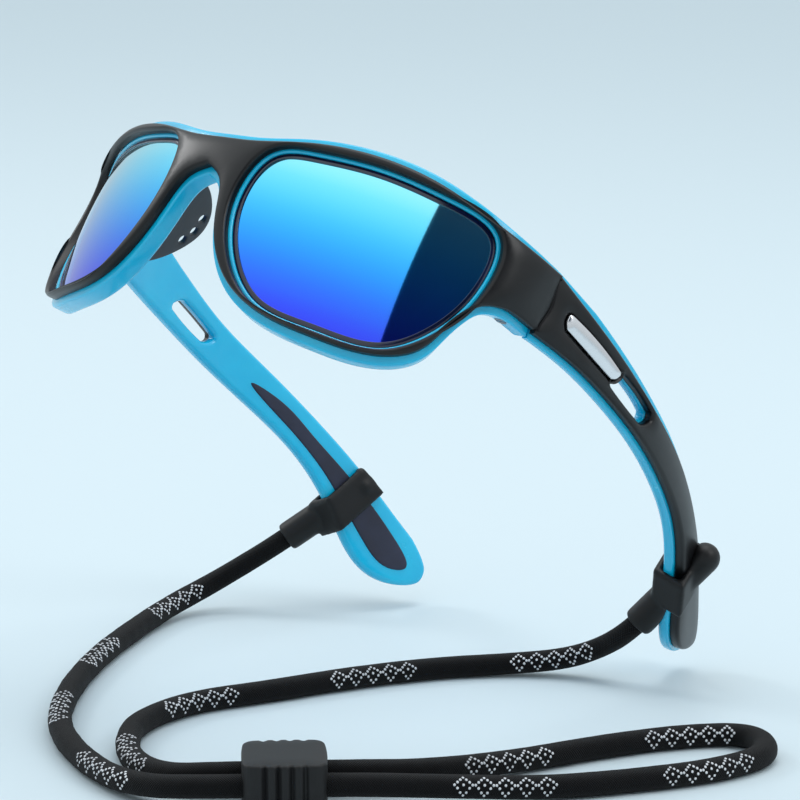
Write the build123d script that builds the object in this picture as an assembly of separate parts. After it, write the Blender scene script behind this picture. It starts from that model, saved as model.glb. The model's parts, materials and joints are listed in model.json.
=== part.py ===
from build123d import *
import os
from math import cos, hypot, pi, radians, sin, sqrt, tan

# Wraparound sport sunglasses with a neck strap. Millimetres. The glasses are drawn upright ("worn"):
# +X is the wearer's left, +Y runs back along the temples, +Z is up, and the origin is on the bridge.
# finish() then tips them back by PITCH about the bridge, as they are held above the strap.

# Attitude and surface
PITCH = 35.0             # front tipped up, degrees
GROUND_Z = -124.0        # the surface that the strap lies on, below the bridge

# Wrap of the front
WRAP_R = 85.0            # plan radius across the lenses
WRAP_HALF = 44.0         # half angle of that arc, degrees
CORNER_R = 22.0          # plan radius where the front turns back to the hinge
VERTICAL_R = 120.0       # radius of the front in side view
FRONT_END_Y = 45.0       # where the front stops and the temple starts
BAND_HALF = 25.0         # half the height of the front's blank, as an angle about the side view's centre
DRAWN_HALF = 65.76       # half width at the hinge that the outlines below are drawn for
DRAWN_END_Y = 45.0       # front's end that they are drawn for
SHELL = 2.2              # outer shell thickness
FRAME = 4.6              # inner frame thickness
SEAM = 0.05              # gap between bonded layers
REVEAL = 1.2             # how far the inner frame shows past the shell

# Lens
LENS_THICK = 1.8
LENS_DEPTH = 0.8         # lens face below the shell's seat
LENS_LIP = 1.3           # lens edge held inside the rim
LENS_GAP = 0.1
LENS_CUT = 25.0          # the openings are cut this far towards the nose from straight back, degrees
SHELL_SETBACK = 0.9      # shell opening larger than the frame opening

# Temple
TEMPLE_GAP = 0.3         # at the butt joint
TEMPLE_OUTER = 2.2
TEMPLE_INNER = 2.8
TEMPLE_REVEAL = 1.1      # inner half shows below the outer half
TEMPLE_CREST = 0.3       # and above it
TRIM_THICK = 1.3
TRIM_GAP = 0.12
TRIM_PROUD = 0.35
GRIP_THICK = 0.9
GRIP_PROUD = 0.35
GRIP_GAP = 0.08

# Hinge
PIN_INSET = 3.96         # from the seat of the shell
PIN_BACK = 1.6           # behind the front's end
PIN_R = 0.8
PIN_HEAD_R = 1.5
PIN_HEAD_T = 0.9
PIN_RUNNING = 0.05       # radial clearance in the moving knuckle
KNUCKLE_R = 2.4
KNUCKLE_GAP = 0.3
TONGUE_LOW = 3.9         # the temple's middle knuckle, worn Z
TONGUE_HIGH = 8.9
LUG = 2.6                # height of each knuckle on the front
LUG_WIDTH = 3.6          # of the arm that joins it to the front
LUG_ROOT = 4.0           # how far that arm reaches into the front
TONGUE_WIDTH = 3.6

# Rim screws
RIM_SCREW_INSET = 2.36   # from the seat of the shell
RIM_SCREW_AHEAD = 7.5    # of the front's end
RIM_SCREW_R = 0.8
RIM_SCREW_HEAD_R = 1.4
RIM_SCREW_HEAD_T = 1.1
RIM_SCREW_LENGTH = 7.0
RIM_SCREW_FOOT = -1.6    # worn Z of its head, sunk in the underside of the front's end
RIM_SCREW_SUNK = 0.2

# Nose pads
PAD_THICK = 1.5
PAD_HOLE_R = 1.1
PAD_GAP = 0.1

# Strap
CORD_R = 2.6
SLEEVE_R = 3.6
SLEEVE_WALL = 1.6
SLEEVE_FIT = 0.12
SLEEVE_TAIL = 17.0
SLEEVE_HEAD = 6.5        # the rounded head past the temple
SLEEVE_BAND = 9.0        # length of the band round the temple
SLEEVE_REACH = 14.0      # radius that holds the whole band
SLEEVE_SOCKET = 3.6      # depth of the cord in the tail
CORD_LEAD = 3.0          # straight cord past the tail
SLIDER_LENGTH = 18.0
SLIDER_WIDTH = 19.0
SLIDER_HEIGHT = 11.6
SLIDER_BORE_GAP = 0.3
SLIDER_TRAVEL = 5.0      # either way along the straight strands
STRAIGHT_SPARE = 1.0     # straight cord past the slider at the end of its travel
CORD_PITCH = 9.0         # between the two strands in the slider
CORD_MEET = 0.02         # gap between the cord lengths inside the slider
RIB_PITCH = 2.9
RIB_GROOVE_R = 0.85
RIB_PROUD = 0.35         # the groove's centre stands out of the slider's flank
SLIDER_CORNER = 3.0

# Right half of the shell's outline in front view, (x, z), from the bridge top round to the nose arch
SHELL_TOP = [(0, 16.6), (9, 16.9), (22, 19.2), (37, 20.8), (52, 19.5), (62, 16.5), (72, 13.4)]
SHELL_LOW = [(72, -0.2), (66.6, -0.6), (64.0, -4.6), (61.8, -10.5), (58.6, -17.0), (52, -21.1), (40, -22.2),
             (28, -20.9), (19, -17.0), (12.6, -10.2), (8.6, -1.5), (5.0, 6.6), (0, 9.3)]
# Lower edge of the front's end in side view, (y, z), from under the lens back to the hinge
END_LOW = [(28, -26), (28.6, -14), (30.2, -6.8), (33, -2.8), (38, -0.9), (52, -0.5)]
# Left lens opening in front view, (x, z), anticlockwise
LENS = [(11.6, 7.5), (14.4, 13.8), (24, 16.3), (38, 17.1), (52, 16.1), (60.4, 12.4), (61.2, 2), (57.8, -10.5),
        (51.5, -18.0), (38, -19.7), (24.5, -17.8), (15.6, -9.2)]
# Plan line between the temple's halves: outwards from the seat of the shell, and back from the front's end
TEMPLE_PLAN = [(0, 0), (3.04, 12), (4.34, 25), (4.24, 41), (0.54, 62), (-10.16, 95), (-21.36, 122)]
# Left temple in side view, (y, z)
TEMPLE_TOP = [(45, 13.4), (56, 10.6), (70, 7.4), (88, 3.0), (106, -0.6), (124, -5.2), (142, -11.6), (156, -18.2)]
TEMPLE_TIP = (166.5, -26.0)
TEMPLE_LOW = [(158, -30.6), (148, -28.4), (138, -20.6), (124, -12.6), (106, -8.0), (88, -5.0), (70, -2.4),
              (56, -0.9), (45, -0.2)]
TRIM = [(50.4, 8.6), (51.6, 4.3), (68.8, 1.0), (72.6, 4.0)]
SLOT = [(68.4, 0.8), (73.0, 4.0), (88.6, 1.0), (84.0, -1.8)]
GRIP = [(104, -2.6), (122, -7.0), (140, -13.2), (156, -21.4), (160, -26.4), (150, -26.2), (138, -18.6),
        (122, -11.0), (104, -6.6)]
# Nose pad outline in its own plane, (down the nose, back)
PAD = [(-13.0, -1.0), (-12.5, 5.2), (-10.0, 9.6), (-7.1, 12.3), (-3.2, 13.4), (1.3, 11.9), (6.6, 7.5), (9.5, 3.4),
       (10.5, -1.0)]
PAD_HOLES = [(-5.8, 10.4), (-2.4, 10.8), (0.6, 9.4)]
PAD_PLACE = (12.2, 5.2, -4.0)
PAD_DOWN = (0.42, 0.05, -0.91)
PAD_BACK = (0.20, 0.97, 0.05)

# Where each sleeve crosses its temple: inset from the seat of the shell, back from the front's end, worn Z
CROSSING = (9.36, 96.50, -17.63)
# The way its tail points, in the part's own frame
TAILS = {"left": (-9.9, -4.9, -11.9), "right": (-10.2, -10.8, -10.0)}
SLIDER_AT = (45.0, -19.0)
SLIDER_ALONG = (0.70, 0.714)

# Routes on and above the surface, after the sleeve's tail and before the slider (x, y, height over the surface)
LEFT_ROUTE = [(36, 99.5, 8.2), (27, 96.5, 4.2), (16, 88, 2.7), (5, 74, 2.6), (-4.5, 54, 2.6), (-11, 33, 2.6),
              (-18.5, 14.5, 2.6), (-16, -5.5, 2.6), (-5, -19, 2.6), (7, -27, 2.7), (20, -30, 3.8)]
RIGHT_ROUTE = [(-73.8, 88, 12.0), (-79.5, 80.5, 6.8), (-81.5, 69, 3.4), (-75, 51, 2.6), (-63, 26.5, 2.6),
               (-46.8, 1.6, 2.6), (-27, -20.2, 2.6), (-0.8, -34.2, 2.6), (20, -39.5, 3.6)]
LOOP_OUT = [(60.5, 8.5, 4.4), (67.5, 30, 2.8), (74.5, 53, 2.6), (83.5, 72, 2.6), (94, 83, 2.6)]
LOOP_BACK = [(106, 74, 2.6), (104.5, 57, 2.6), (95, 38, 2.6), (84, 20.5, 2.8), (71.5, 4, 4.4)]


# --- Helpers ---------------------------------------------------------------------------------------

def grown(points, by, closed=True):
    """The points moved sideways by a distance, outwards on an anticlockwise outline."""
    moved = []
    last = len(points) - 1
    for i, (x, y) in enumerate(points):
        before = points[i - 1] if closed or i > 0 else points[0]
        after = points[(i + 1) % len(points)] if closed or i < last else points[last]
        run = hypot(after[0] - before[0], after[1] - before[1])
        moved.append((x + by * (after[1] - before[1]) / run, y - by * (after[0] - before[0]) / run))
    return moved


def front_view(points):
    """(x, z) points on a plane in front of the glasses."""
    return [Vector(x, -30, z) for x, z in points]


def side_view(points):
    """(y, z) points on the middle plane."""
    return [Vector(0, y, z) for y, z in points]


def face_of(*edges):
    return make_face(Wire(list(edges)))


def front_block(face):
    return extrude(face, amount=120, dir=(0, 1, 0))


def side_block(face):
    return extrude(face, amount=110, dir=(1, 0, 0))


def rod(start, end, radius):
    """A round bar between two points."""
    start, end = Vector(*start), Vector(*end)
    return extrude(Plane(origin=start, z_dir=end - start) * Circle(radius), amount=(end - start).length)


def upright_rod(x, y, low, high, radius):
    return rod((x, y, low), (x, y, high), radius)


def mirrored(shape):
    return mirror(shape, about=Plane.YZ)


def tipped(shape):
    """From upright to the attitude that the glasses are held in."""
    return Rot(X=-PITCH) * shape


# --- Front -----------------------------------------------------------------------------------------

def wrap_layer(inner, outer):
    """The layer of the front between two distances from the seat of the shell, all the way round."""
    edge_x = WRAP_R * sin(radians(WRAP_HALF))
    edge_y = WRAP_R * (1 - cos(radians(WRAP_HALF)))
    corner_x = edge_x - CORNER_R * sin(radians(WRAP_HALF))
    corner_y = edge_y + CORNER_R * cos(radians(WRAP_HALF))
    edges = []
    ends = []
    for offset in (outer, inner):
        radius = CORNER_R + offset
        side = corner_x + radius
        edges.append(CenterArc((0, WRAP_R), WRAP_R + offset, -90 - WRAP_HALF, 2 * WRAP_HALF))
        edges.append(CenterArc((corner_x, corner_y), radius, WRAP_HALF - 90, 90 - WRAP_HALF))
        edges.append(CenterArc((-corner_x, corner_y), radius, 180, 90 - WRAP_HALF))
        edges.append(Line((side, corner_y), (side, FRONT_END_Y)))
        edges.append(Line((-side, corner_y), (-side, FRONT_END_Y)))
        ends.append(side)
    for sign in (1, -1):
        edges.append(Line((sign * ends[0], FRONT_END_Y), (sign * ends[1], FRONT_END_Y)))
    axis = Axis((0, VERTICAL_R, 0), (1, 0, 0))
    plan = face_of(*edges).rotate(axis, -BAND_HALF)
    return trimmed_end(revolve(plan, axis=axis, revolution_arc=2 * BAND_HALF))


def trimmed_end(layer):
    """The layer cut square where the temples start."""
    return layer - Pos(0, FRONT_END_Y + 50, 0) * Box(300, 100, 200)


def seat_x():
    """The plan distance of the seat of the shell from the middle, beside the hinge."""
    return WRAP_R * sin(radians(WRAP_HALF)) + CORNER_R * (1 - sin(radians(WRAP_HALF)))


def seat_y(x, z):
    """How far back the seat of the shell is at a place in front view."""
    corner_x = (WRAP_R - CORNER_R) * sin(radians(WRAP_HALF))
    corner_y = WRAP_R - (WRAP_R - CORNER_R) * cos(radians(WRAP_HALF))
    if x < WRAP_R * sin(radians(WRAP_HALF)):
        plan = WRAP_R - sqrt(WRAP_R ** 2 - x ** 2)
    else:
        plan = corner_y - sqrt(CORNER_R ** 2 - (x - corner_x) ** 2)
    return VERTICAL_R - sqrt((VERTICAL_R - plan) ** 2 - z ** 2)


def widened(points):
    """A front view outline stretched from the width it is drawn for to the width of the front."""
    return [(x * seat_x() / DRAWN_HALF, z) for x, z in points]


def moved_back(points):
    """A side view outline moved from the front's end that it is drawn for to the real one."""
    return [(y + FRONT_END_Y - DRAWN_END_Y, z) for y, z in points]


def front_outline(grow):
    """The block cut to the front's outline, moved out by a distance."""
    upper, lower = widened(SHELL_TOP), widened(SHELL_LOW)
    top = [(-x, z) for x, z in reversed(upper[1:])] + upper
    low = lower + [(-x, z) for x, z in reversed(lower[:-1])]
    top = grown(top, -grow, closed=False)
    low = grown(low, -grow, closed=False)
    right = Line(front_view([top[-1]])[0], front_view([low[0]])[0])
    left = Line(front_view([low[-1]])[0], front_view([top[0]])[0])
    return front_block(face_of(Spline(*front_view(top)), right, Spline(*front_view(low)), left))


def under_front(drop):
    """What lies below both ends of the front in side view, to be cut away, moved down by a distance."""
    low = [(y, z - drop) for y, z in moved_back(END_LOW)]
    edge = side_view(low)
    corner, foot = side_view([(low[-1][0], low[0][1] - 20), (low[0][0], low[0][1] - 20)])
    face = face_of(Spline(*edge), Line(edge[-1], corner), Line(corner, foot), Line(foot, edge[0]))
    block = side_block(face)
    return block + mirrored(block)


def lens_outline(grow):
    """The block of the left lens opening, moved out by a distance, cut square to the middle of the lens."""
    turn = radians(LENS_CUT)
    across, back = Vector(cos(turn), sin(turn), 0), Vector(-sin(turn), cos(turn), 0)
    seen = [(x * cos(turn) + seat_y(x, z) * sin(turn), z) for x, z in widened(LENS)]
    edge = [across * s + Vector(0, 0, z) - back * 40 for s, z in grown(seen, grow)]
    return extrude(face_of(Spline(*edge, periodic=True)), amount=120, dir=back)


def front_shell():
    shell = wrap_layer(SEAM, SHELL) & front_outline(0)
    opening = lens_outline(SHELL_SETBACK)
    return shell - opening - mirrored(opening) - under_front(0)


def front_frame():
    frame = (wrap_layer(-FRAME, 0) & front_outline(REVEAL)) - under_front(REVEAL)
    opening = lens_outline(0)
    groove_low = -LENS_DEPTH - LENS_THICK - LENS_GAP
    groove = wrap_layer(groove_low, -LENS_DEPTH + LENS_GAP) & lens_outline(LENS_LIP + LENS_GAP)
    for cut in (opening, groove):
        frame = frame - cut - mirrored(cut)
    for side in (lambda s: s, mirrored):
        frame = frame + side(front_lugs())
        frame = frame - side(front_clearance()) - side(rim_screw_hole())
    return frame


def lens():
    return wrap_layer(-LENS_DEPTH - LENS_THICK, -LENS_DEPTH) & lens_outline(LENS_LIP)


# --- Hinge -----------------------------------------------------------------------------------------

PIN_X = seat_x() - PIN_INSET
PIN_Y = FRONT_END_Y + PIN_BACK
RIM_SCREW_X = seat_x() - RIM_SCREW_INSET
RIM_SCREW_Y = FRONT_END_Y - RIM_SCREW_AHEAD


def front_lugs():
    """Two knuckles on the front's end, above and below the temple's knuckle."""
    lugs = None
    for low in (TONGUE_LOW - KNUCKLE_GAP - LUG, TONGUE_HIGH + KNUCKLE_GAP):
        barrel = upright_rod(PIN_X, PIN_Y, low, low + LUG, KNUCKLE_R)
        depth = PIN_BACK + LUG_ROOT
        inset = KNUCKLE_R - LUG_WIDTH / 2
        arm = Pos(PIN_X - inset / 2, PIN_Y - depth / 2, low + LUG / 2) * Box(LUG_WIDTH, depth, LUG)
        lug = barrel + arm
        lugs = lug if lugs is None else lugs + lug
    return lugs


def front_clearance():
    """Room in the front for the pin and for the temple's knuckle."""
    room = upright_rod(PIN_X, PIN_Y, TONGUE_LOW - KNUCKLE_GAP, TONGUE_HIGH + KNUCKLE_GAP, KNUCKLE_R + KNUCKLE_GAP)
    low, high = pin_span()
    return room + upright_rod(PIN_X, PIN_Y, low - 2, high + 2, PIN_R)


def pin_span():
    """The hinge pin's shank, from the bottom of the lower knuckle to the top of the upper one."""
    return TONGUE_LOW - KNUCKLE_GAP - LUG, TONGUE_HIGH + KNUCKLE_GAP + LUG


def hinge_screw():
    low, high = pin_span()
    head = upright_rod(PIN_X, PIN_Y, high + SEAM, high + SEAM + PIN_HEAD_T, PIN_HEAD_R)
    slot = Pos(PIN_X, PIN_Y, high + SEAM + PIN_HEAD_T) * Box(4 * PIN_HEAD_R, 0.4, 0.7)
    return upright_rod(PIN_X, PIN_Y, low, high + SEAM, PIN_R - SEAM / 5) + head - slot


def rim_screw_seat():
    """The worn Z of the shoulder that the rim screw's head bears on."""
    return RIM_SCREW_FOOT + RIM_SCREW_SUNK + RIM_SCREW_HEAD_T


def rim_screw_hole():
    """The screw's hole, with the room for its head open below."""
    top = RIM_SCREW_FOOT + RIM_SCREW_LENGTH
    shank = upright_rod(RIM_SCREW_X, RIM_SCREW_Y, RIM_SCREW_FOOT, top, RIM_SCREW_R)
    room = RIM_SCREW_HEAD_R + SEAM
    return shank + upright_rod(RIM_SCREW_X, RIM_SCREW_Y, RIM_SCREW_FOOT - 9, rim_screw_seat(), room)


def rim_screw():
    face = RIM_SCREW_FOOT + RIM_SCREW_SUNK
    top = RIM_SCREW_FOOT + RIM_SCREW_LENGTH - SEAM
    shank = upright_rod(RIM_SCREW_X, RIM_SCREW_Y, face, top, RIM_SCREW_R - SEAM / 5)
    head = upright_rod(RIM_SCREW_X, RIM_SCREW_Y, face, rim_screw_seat() - SEAM, RIM_SCREW_HEAD_R)
    slot = Pos(RIM_SCREW_X, RIM_SCREW_Y, face) * Box(4 * RIM_SCREW_HEAD_R, 0.35, 0.8)
    return shank + head - slot


# --- Temple ----------------------------------------------------------------------------------------

def temple_layer(inner, outer):
    """The layer of the left temple between two distances from the plan line."""
    plan = [(seat_x() + x, FRONT_END_Y + y) for x, y in TEMPLE_PLAN]
    start = FRONT_END_Y + TEMPLE_GAP
    outside = grown(plan, outer, closed=False)
    inside = grown(plan, inner, closed=False)
    edges = [Spline(*outside), Line(outside[-1], inside[-1]), Spline(*inside), Line(inside[0], outside[0])]
    layer = extrude(Pos(0, 0, -60) * face_of(*edges), amount=100)
    return layer - Pos(0, start - 50, 0) * Box(300, 100, 200)


def temple_outline(low_grow, top_grow=0.0):
    """The block of the temple's side view, with its edges moved out by two distances."""
    top = grown(moved_back(TEMPLE_TOP + [TEMPLE_TIP]), -top_grow, closed=False)
    low = grown(moved_back([TEMPLE_TIP] + TEMPLE_LOW), -low_grow, closed=False)
    tip = ((top[-1][0] + low[0][0]) / 2, (top[-1][1] + low[0][1]) / 2)
    top[-1] = low[0] = tip
    edges = [Spline(*side_view(top)), Spline(*side_view(low))]
    butt = Line(side_view([low[-1]])[0], side_view([top[0]])[0])
    return side_block(face_of(*edges, butt))


def side_plate(points, grow):
    """The block of a closed straight-sided outline in side view, its corners rounded."""
    moved = grown_corners(moved_back(points), grow)
    flat = make_face(Polyline(*moved, close=True))
    flat = fillet(flat.vertices(), 0.7)
    placed = Plane(origin=(0, 0, 0), x_dir=(0, 1, 0), z_dir=(1, 0, 0)) * flat
    return extrude(placed, amount=110)


def grown_corners(points, by):
    """A straight-sided outline with every side moved out by a distance."""
    count = len(points)
    area = sum(points[i][0] * points[(i + 1) % count][1] - points[(i + 1) % count][0] * points[i][1]
               for i in range(count))
    side = by if area > 0 else -by
    lines = []
    for i in range(count):
        (ax, ay), (bx, by_) = points[i], points[(i + 1) % count]
        run = hypot(bx - ax, by_ - ay)
        nx, ny = (by_ - ay) / run, (ax - bx) / run
        lines.append((nx, ny, nx * ax + ny * ay + side))
    corners = []
    for i in range(count):
        (a, b, c), (d, e, f) = lines[i - 1], lines[i]
        det = a * e - b * d
        corners.append(((c * e - b * f) / det, (a * f - c * d) / det))
    return corners


def grip_outline(grow):
    points = grown(moved_back(GRIP[::-1]), -grow)
    return side_block(face_of(Spline(*side_view(points), periodic=True)))


def temple_outer():
    half = temple_layer(SEAM, TEMPLE_OUTER) & temple_outline(0)
    recess = temple_layer(TEMPLE_OUTER + TRIM_PROUD - TRIM_THICK - TRIM_GAP, TEMPLE_OUTER + 1) & side_plate(TRIM, 0)
    return half - recess - side_plate(SLOT, 0)


def temple_inner():
    half = temple_layer(-TEMPLE_INNER, 0) & temple_outline(TEMPLE_REVEAL, TEMPLE_CREST)
    pocket = temple_layer(-TEMPLE_INNER - 1, -TEMPLE_INNER - GRIP_PROUD + GRIP_THICK + GRIP_GAP)
    half = half - side_plate(SLOT, 0) - (pocket & grip_outline(GRIP_GAP))
    return (half - temple_clearance() + tongue()) - pin_bore()


def temple_clearance():
    """Room in the temple's end for the front's knuckles as it folds."""
    low, high = pin_span()
    radius = KNUCKLE_R + KNUCKLE_GAP
    room = upright_rod(PIN_X, PIN_Y, low - 3, TONGUE_LOW, radius)
    return room + upright_rod(PIN_X, PIN_Y, TONGUE_HIGH, high + 3, radius)


def tongue():
    """The temple's own knuckle, between the front's two."""
    height = TONGUE_HIGH - TONGUE_LOW
    middle = (TONGUE_HIGH + TONGUE_LOW) / 2
    barrel = upright_rod(PIN_X, PIN_Y, TONGUE_LOW, TONGUE_HIGH, KNUCKLE_R)
    arm = Pos(PIN_X + TONGUE_WIDTH / 2, PIN_Y + KNUCKLE_R / 2, middle) * Box(TONGUE_WIDTH, KNUCKLE_R, height)
    return barrel + arm


def pin_bore():
    return upright_rod(PIN_X, PIN_Y, TONGUE_LOW - 1, TONGUE_HIGH + 1, PIN_R - SEAM / 5 + PIN_RUNNING)


def temple_trim():
    inner = TEMPLE_OUTER + TRIM_PROUD - TRIM_THICK
    return temple_layer(inner, TEMPLE_OUTER + TRIM_PROUD) & side_plate(TRIM, -TRIM_GAP)


def temple_grip():
    inner = -TEMPLE_INNER - GRIP_PROUD
    return temple_layer(inner, inner + GRIP_THICK) & grip_outline(0)


# --- Nose pad --------------------------------------------------------------------------------------

def pad_plane():
    """The left pad's plane: its x runs down the side of the nose and its y runs back."""
    down = Vector(*PAD_DOWN).normalized()
    back = Vector(*PAD_BACK)
    return Plane(origin=PAD_PLACE, x_dir=down, z_dir=down.cross(back))


def nose_pad():
    flat = make_face(Wire([Spline(*PAD), Line(PAD[-1], PAD[0])]))
    for hole in PAD_HOLES:
        flat -= Pos(*hole) * Circle(PAD_HOLE_R)
    pad = extrude(pad_plane() * flat, amount=PAD_THICK)
    return pad - (wrap_layer(-FRAME - PAD_GAP, SHELL) & front_outline(REVEAL + 0.5))


# --- Strap -----------------------------------------------------------------------------------------

def temple_run(side):
    """The way the temple runs where its sleeve crosses it."""
    sign = 1 if side == "left" else -1
    return Vector(-0.37 * sign, 0.43, -0.83).normalized()


def crossing(side):
    """Where the sleeve crosses its temple, in the part's own frame."""
    inset, behind, height = CROSSING
    sign = 1 if side == "left" else -1
    return tipped(Vertex(sign * (seat_x() - inset), FRONT_END_Y + behind, height)).center()


def tail_end(side):
    at = crossing(side)
    return at + Vector(*TAILS[side]).normalized() * SLEEVE_TAIL


def sleeve(side):
    """A rubber sleeve: a band stretched round the temple, and a tail that holds the cord's end."""
    at = crossing(side)
    tail = Vector(*TAILS[side]).normalized()
    head = at - tail * SLEEVE_HEAD
    bar = rod(tuple(head), tuple(tail_end(side)), SLEEVE_R) + Pos(*head) * Sphere(SLEEVE_R)
    envelope = temple_layer(-TEMPLE_INNER - GRIP_PROUD - SLEEVE_WALL, TEMPLE_OUTER + SLEEVE_WALL)
    envelope = envelope & temple_outline(TEMPLE_REVEAL + SLEEVE_WALL, TEMPLE_CREST + SLEEVE_WALL)
    passage = temple_layer(-TEMPLE_INNER - GRIP_PROUD - SLEEVE_FIT, TEMPLE_OUTER + SLEEVE_FIT)
    passage = passage & temple_outline(TEMPLE_REVEAL + SLEEVE_FIT, TEMPLE_CREST + SLEEVE_FIT)
    if side == "right":
        envelope, passage = mirrored(envelope), mirrored(passage)
    envelope, passage = tipped(envelope), tipped(passage)
    run = temple_run(side)
    band = envelope & rod(tuple(at - run * SLEEVE_BAND / 2), tuple(at + run * SLEEVE_BAND / 2), SLEEVE_REACH)
    socket = rod(tuple(tail_end(side) - tail * SLEEVE_SOCKET), tuple(tail_end(side) + tail), CORD_R + SLEEVE_FIT)
    return (bar + band) - passage - socket


def lifted(points):
    return [Vector(x, y, GROUND_Z + h) for x, y, h in points]


def slider_axes():
    along = Vector(SLIDER_ALONG[0], SLIDER_ALONG[1], 0).normalized()
    across = Vector(along.Y, -along.X, 0)
    middle = Vector(SLIDER_AT[0], SLIDER_AT[1], GROUND_Z + SLIDER_HEIGHT / 2)
    return middle, along, across


def strand(which, distance):
    """A point on one of the two straight strands, at a distance past the slider's middle."""
    middle, along, across = slider_axes()
    sign = -1 if which == "left" else 1
    return middle + across * (sign * CORD_PITCH / 2) + along * distance


def straight_half():
    return SLIDER_LENGTH / 2 + SLIDER_TRAVEL + STRAIGHT_SPARE


def cord_tube(points):
    """A round cord along straight runs joined by the largest arcs that the runs leave room for."""
    radii = []
    for a, b, c in zip(points, points[1:], points[2:]):
        turn = radians((b - a).get_angle(c - b))
        shorter = min((b - a).length, (c - b).length)
        radii.append(0.45 * shorter / tan(turn / 2))
    path = FilletPolyline(*points, radius=radii)
    section = Plane(origin=points[0], z_dir=points[1] - points[0]) * Circle(CORD_R)
    tube = sweep(section, path=path)
    length = sum(edge.length for edge in path.edges())
    ratio = tube.volume / (pi * CORD_R ** 2 * length)
    print("cord", round(length, 1), "mm, volume ratio", round(ratio, 4), "radii", [round(r, 1) for r in radii])
    return tube


def side_cord(side, route):
    """From the sleeve's socket to the middle of the slider."""
    tail = Vector(*TAILS[side]).normalized()
    start = tail_end(side) - tail * (SLEEVE_SOCKET - SEAM)
    first = tail_end(side) + tail * CORD_LEAD
    end = [strand(side, -straight_half()), strand(side, -CORD_MEET)]
    return cord_tube([start, first] + lifted(route) + end)


def loop_cord():
    """From the slider's middle round the free loop and back."""
    start = [strand("left", 0), strand("left", straight_half())]
    end = [strand("right", straight_half()), strand("right", 0)]
    return cord_tube(start + lifted(LOOP_OUT) + lifted(LOOP_BACK) + end)


def slider():
    """A rubber bead with ribbed flanks and two bores side by side."""
    middle, along, across = slider_axes()
    plane = Plane(origin=middle, x_dir=along, z_dir=(0, 0, 1))
    body = Box(SLIDER_LENGTH, SLIDER_WIDTH, SLIDER_HEIGHT)
    body = fillet(body.edges().filter_by(Axis.X), SLIDER_CORNER)
    for i in range(-2, 3):
        for sign in (1, -1):
            flank = sign * (SLIDER_WIDTH / 2 + RIB_PROUD)
            body -= Pos(i * RIB_PITCH, flank, 0) * Cylinder(RIB_GROOVE_R, 2 * SLIDER_HEIGHT)
    for sign in (1, -1):
        body -= Pos(0, sign * CORD_PITCH / 2, 0) * Rot(Y=90) * Cylinder(CORD_R + SLIDER_BORE_GAP, 2 * SLIDER_LENGTH)
    return plane.location * body


# --- Parts -----------------------------------------------------------------------------------------

def parts():
    """Every piece by its node name, in the part's frame."""
    worn = {
        "front_shell": front_shell(),
        "front_frame": front_frame(),
    }
    handed = {
        "lens": lens(),
        "nose_pad": nose_pad(),
        "hinge_screw": hinge_screw(),
        "rim_screw": rim_screw(),
        "temple_outer": temple_outer(),
        "temple_inner": temple_inner(),
        "temple_trim": temple_trim(),
        "temple_grip": temple_grip(),
    }
    for name, shape in handed.items():
        worn[f"{name}_left"] = shape
        worn[f"{name}_right"] = mirrored(shape)
    made = {name: tipped(shape) for name, shape in worn.items()}
    for side, route in (("left", LEFT_ROUTE), ("right", RIGHT_ROUTE)):
        made[f"strap_sleeve_{side}"] = sleeve(side)
        made[f"strap_cord_{side}"] = side_cord(side, route)
    made["strap_loop"] = loop_cord()
    made["strap_slider"] = slider()
    return made


os.makedirs("parts", exist_ok=True)
for node, shape in parts().items():
    export_step(shape, f"parts/{node}.step")
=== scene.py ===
"""Looks of two-tone wraparound sport sunglasses and their neck strap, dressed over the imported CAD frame."""

import json
import logging
import math
from dataclasses import dataclass, field
from enum import Enum
from typing import Callable, Sequence

import bpy
import numpy as np
from mathutils import Matrix, Vector
from mathutils.geometry import delaunay_2d_cdt

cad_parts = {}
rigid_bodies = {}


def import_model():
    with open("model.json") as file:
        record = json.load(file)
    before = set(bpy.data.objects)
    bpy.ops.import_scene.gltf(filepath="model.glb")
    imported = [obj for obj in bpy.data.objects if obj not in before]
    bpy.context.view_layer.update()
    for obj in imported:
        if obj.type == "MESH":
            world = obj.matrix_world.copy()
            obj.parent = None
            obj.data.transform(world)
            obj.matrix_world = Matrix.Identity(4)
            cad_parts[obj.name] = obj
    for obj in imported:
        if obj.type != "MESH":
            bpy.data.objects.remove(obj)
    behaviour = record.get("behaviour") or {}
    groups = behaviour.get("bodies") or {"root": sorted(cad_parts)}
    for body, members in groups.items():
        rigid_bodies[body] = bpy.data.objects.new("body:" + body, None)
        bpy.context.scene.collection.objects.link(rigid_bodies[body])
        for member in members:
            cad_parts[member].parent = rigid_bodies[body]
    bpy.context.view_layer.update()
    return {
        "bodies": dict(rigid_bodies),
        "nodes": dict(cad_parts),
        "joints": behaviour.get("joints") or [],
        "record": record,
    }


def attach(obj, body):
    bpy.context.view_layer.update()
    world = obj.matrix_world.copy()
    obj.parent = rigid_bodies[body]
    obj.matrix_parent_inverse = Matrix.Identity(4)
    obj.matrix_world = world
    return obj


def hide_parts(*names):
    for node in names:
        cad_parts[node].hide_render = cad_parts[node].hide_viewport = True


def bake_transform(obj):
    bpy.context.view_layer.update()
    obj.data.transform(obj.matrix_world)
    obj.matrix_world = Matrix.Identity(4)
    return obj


log = logging.getLogger("sunglasses")

MM = 0.001
PITCH = math.radians(35.0)      # the glasses are held tipped back by this much
GROUND = -124.0                 # the surface under the strap, mm below the bridge

Place = Callable[[np.ndarray, np.ndarray, np.ndarray], np.ndarray]
Outline = Sequence[tuple[float, float]]

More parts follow.
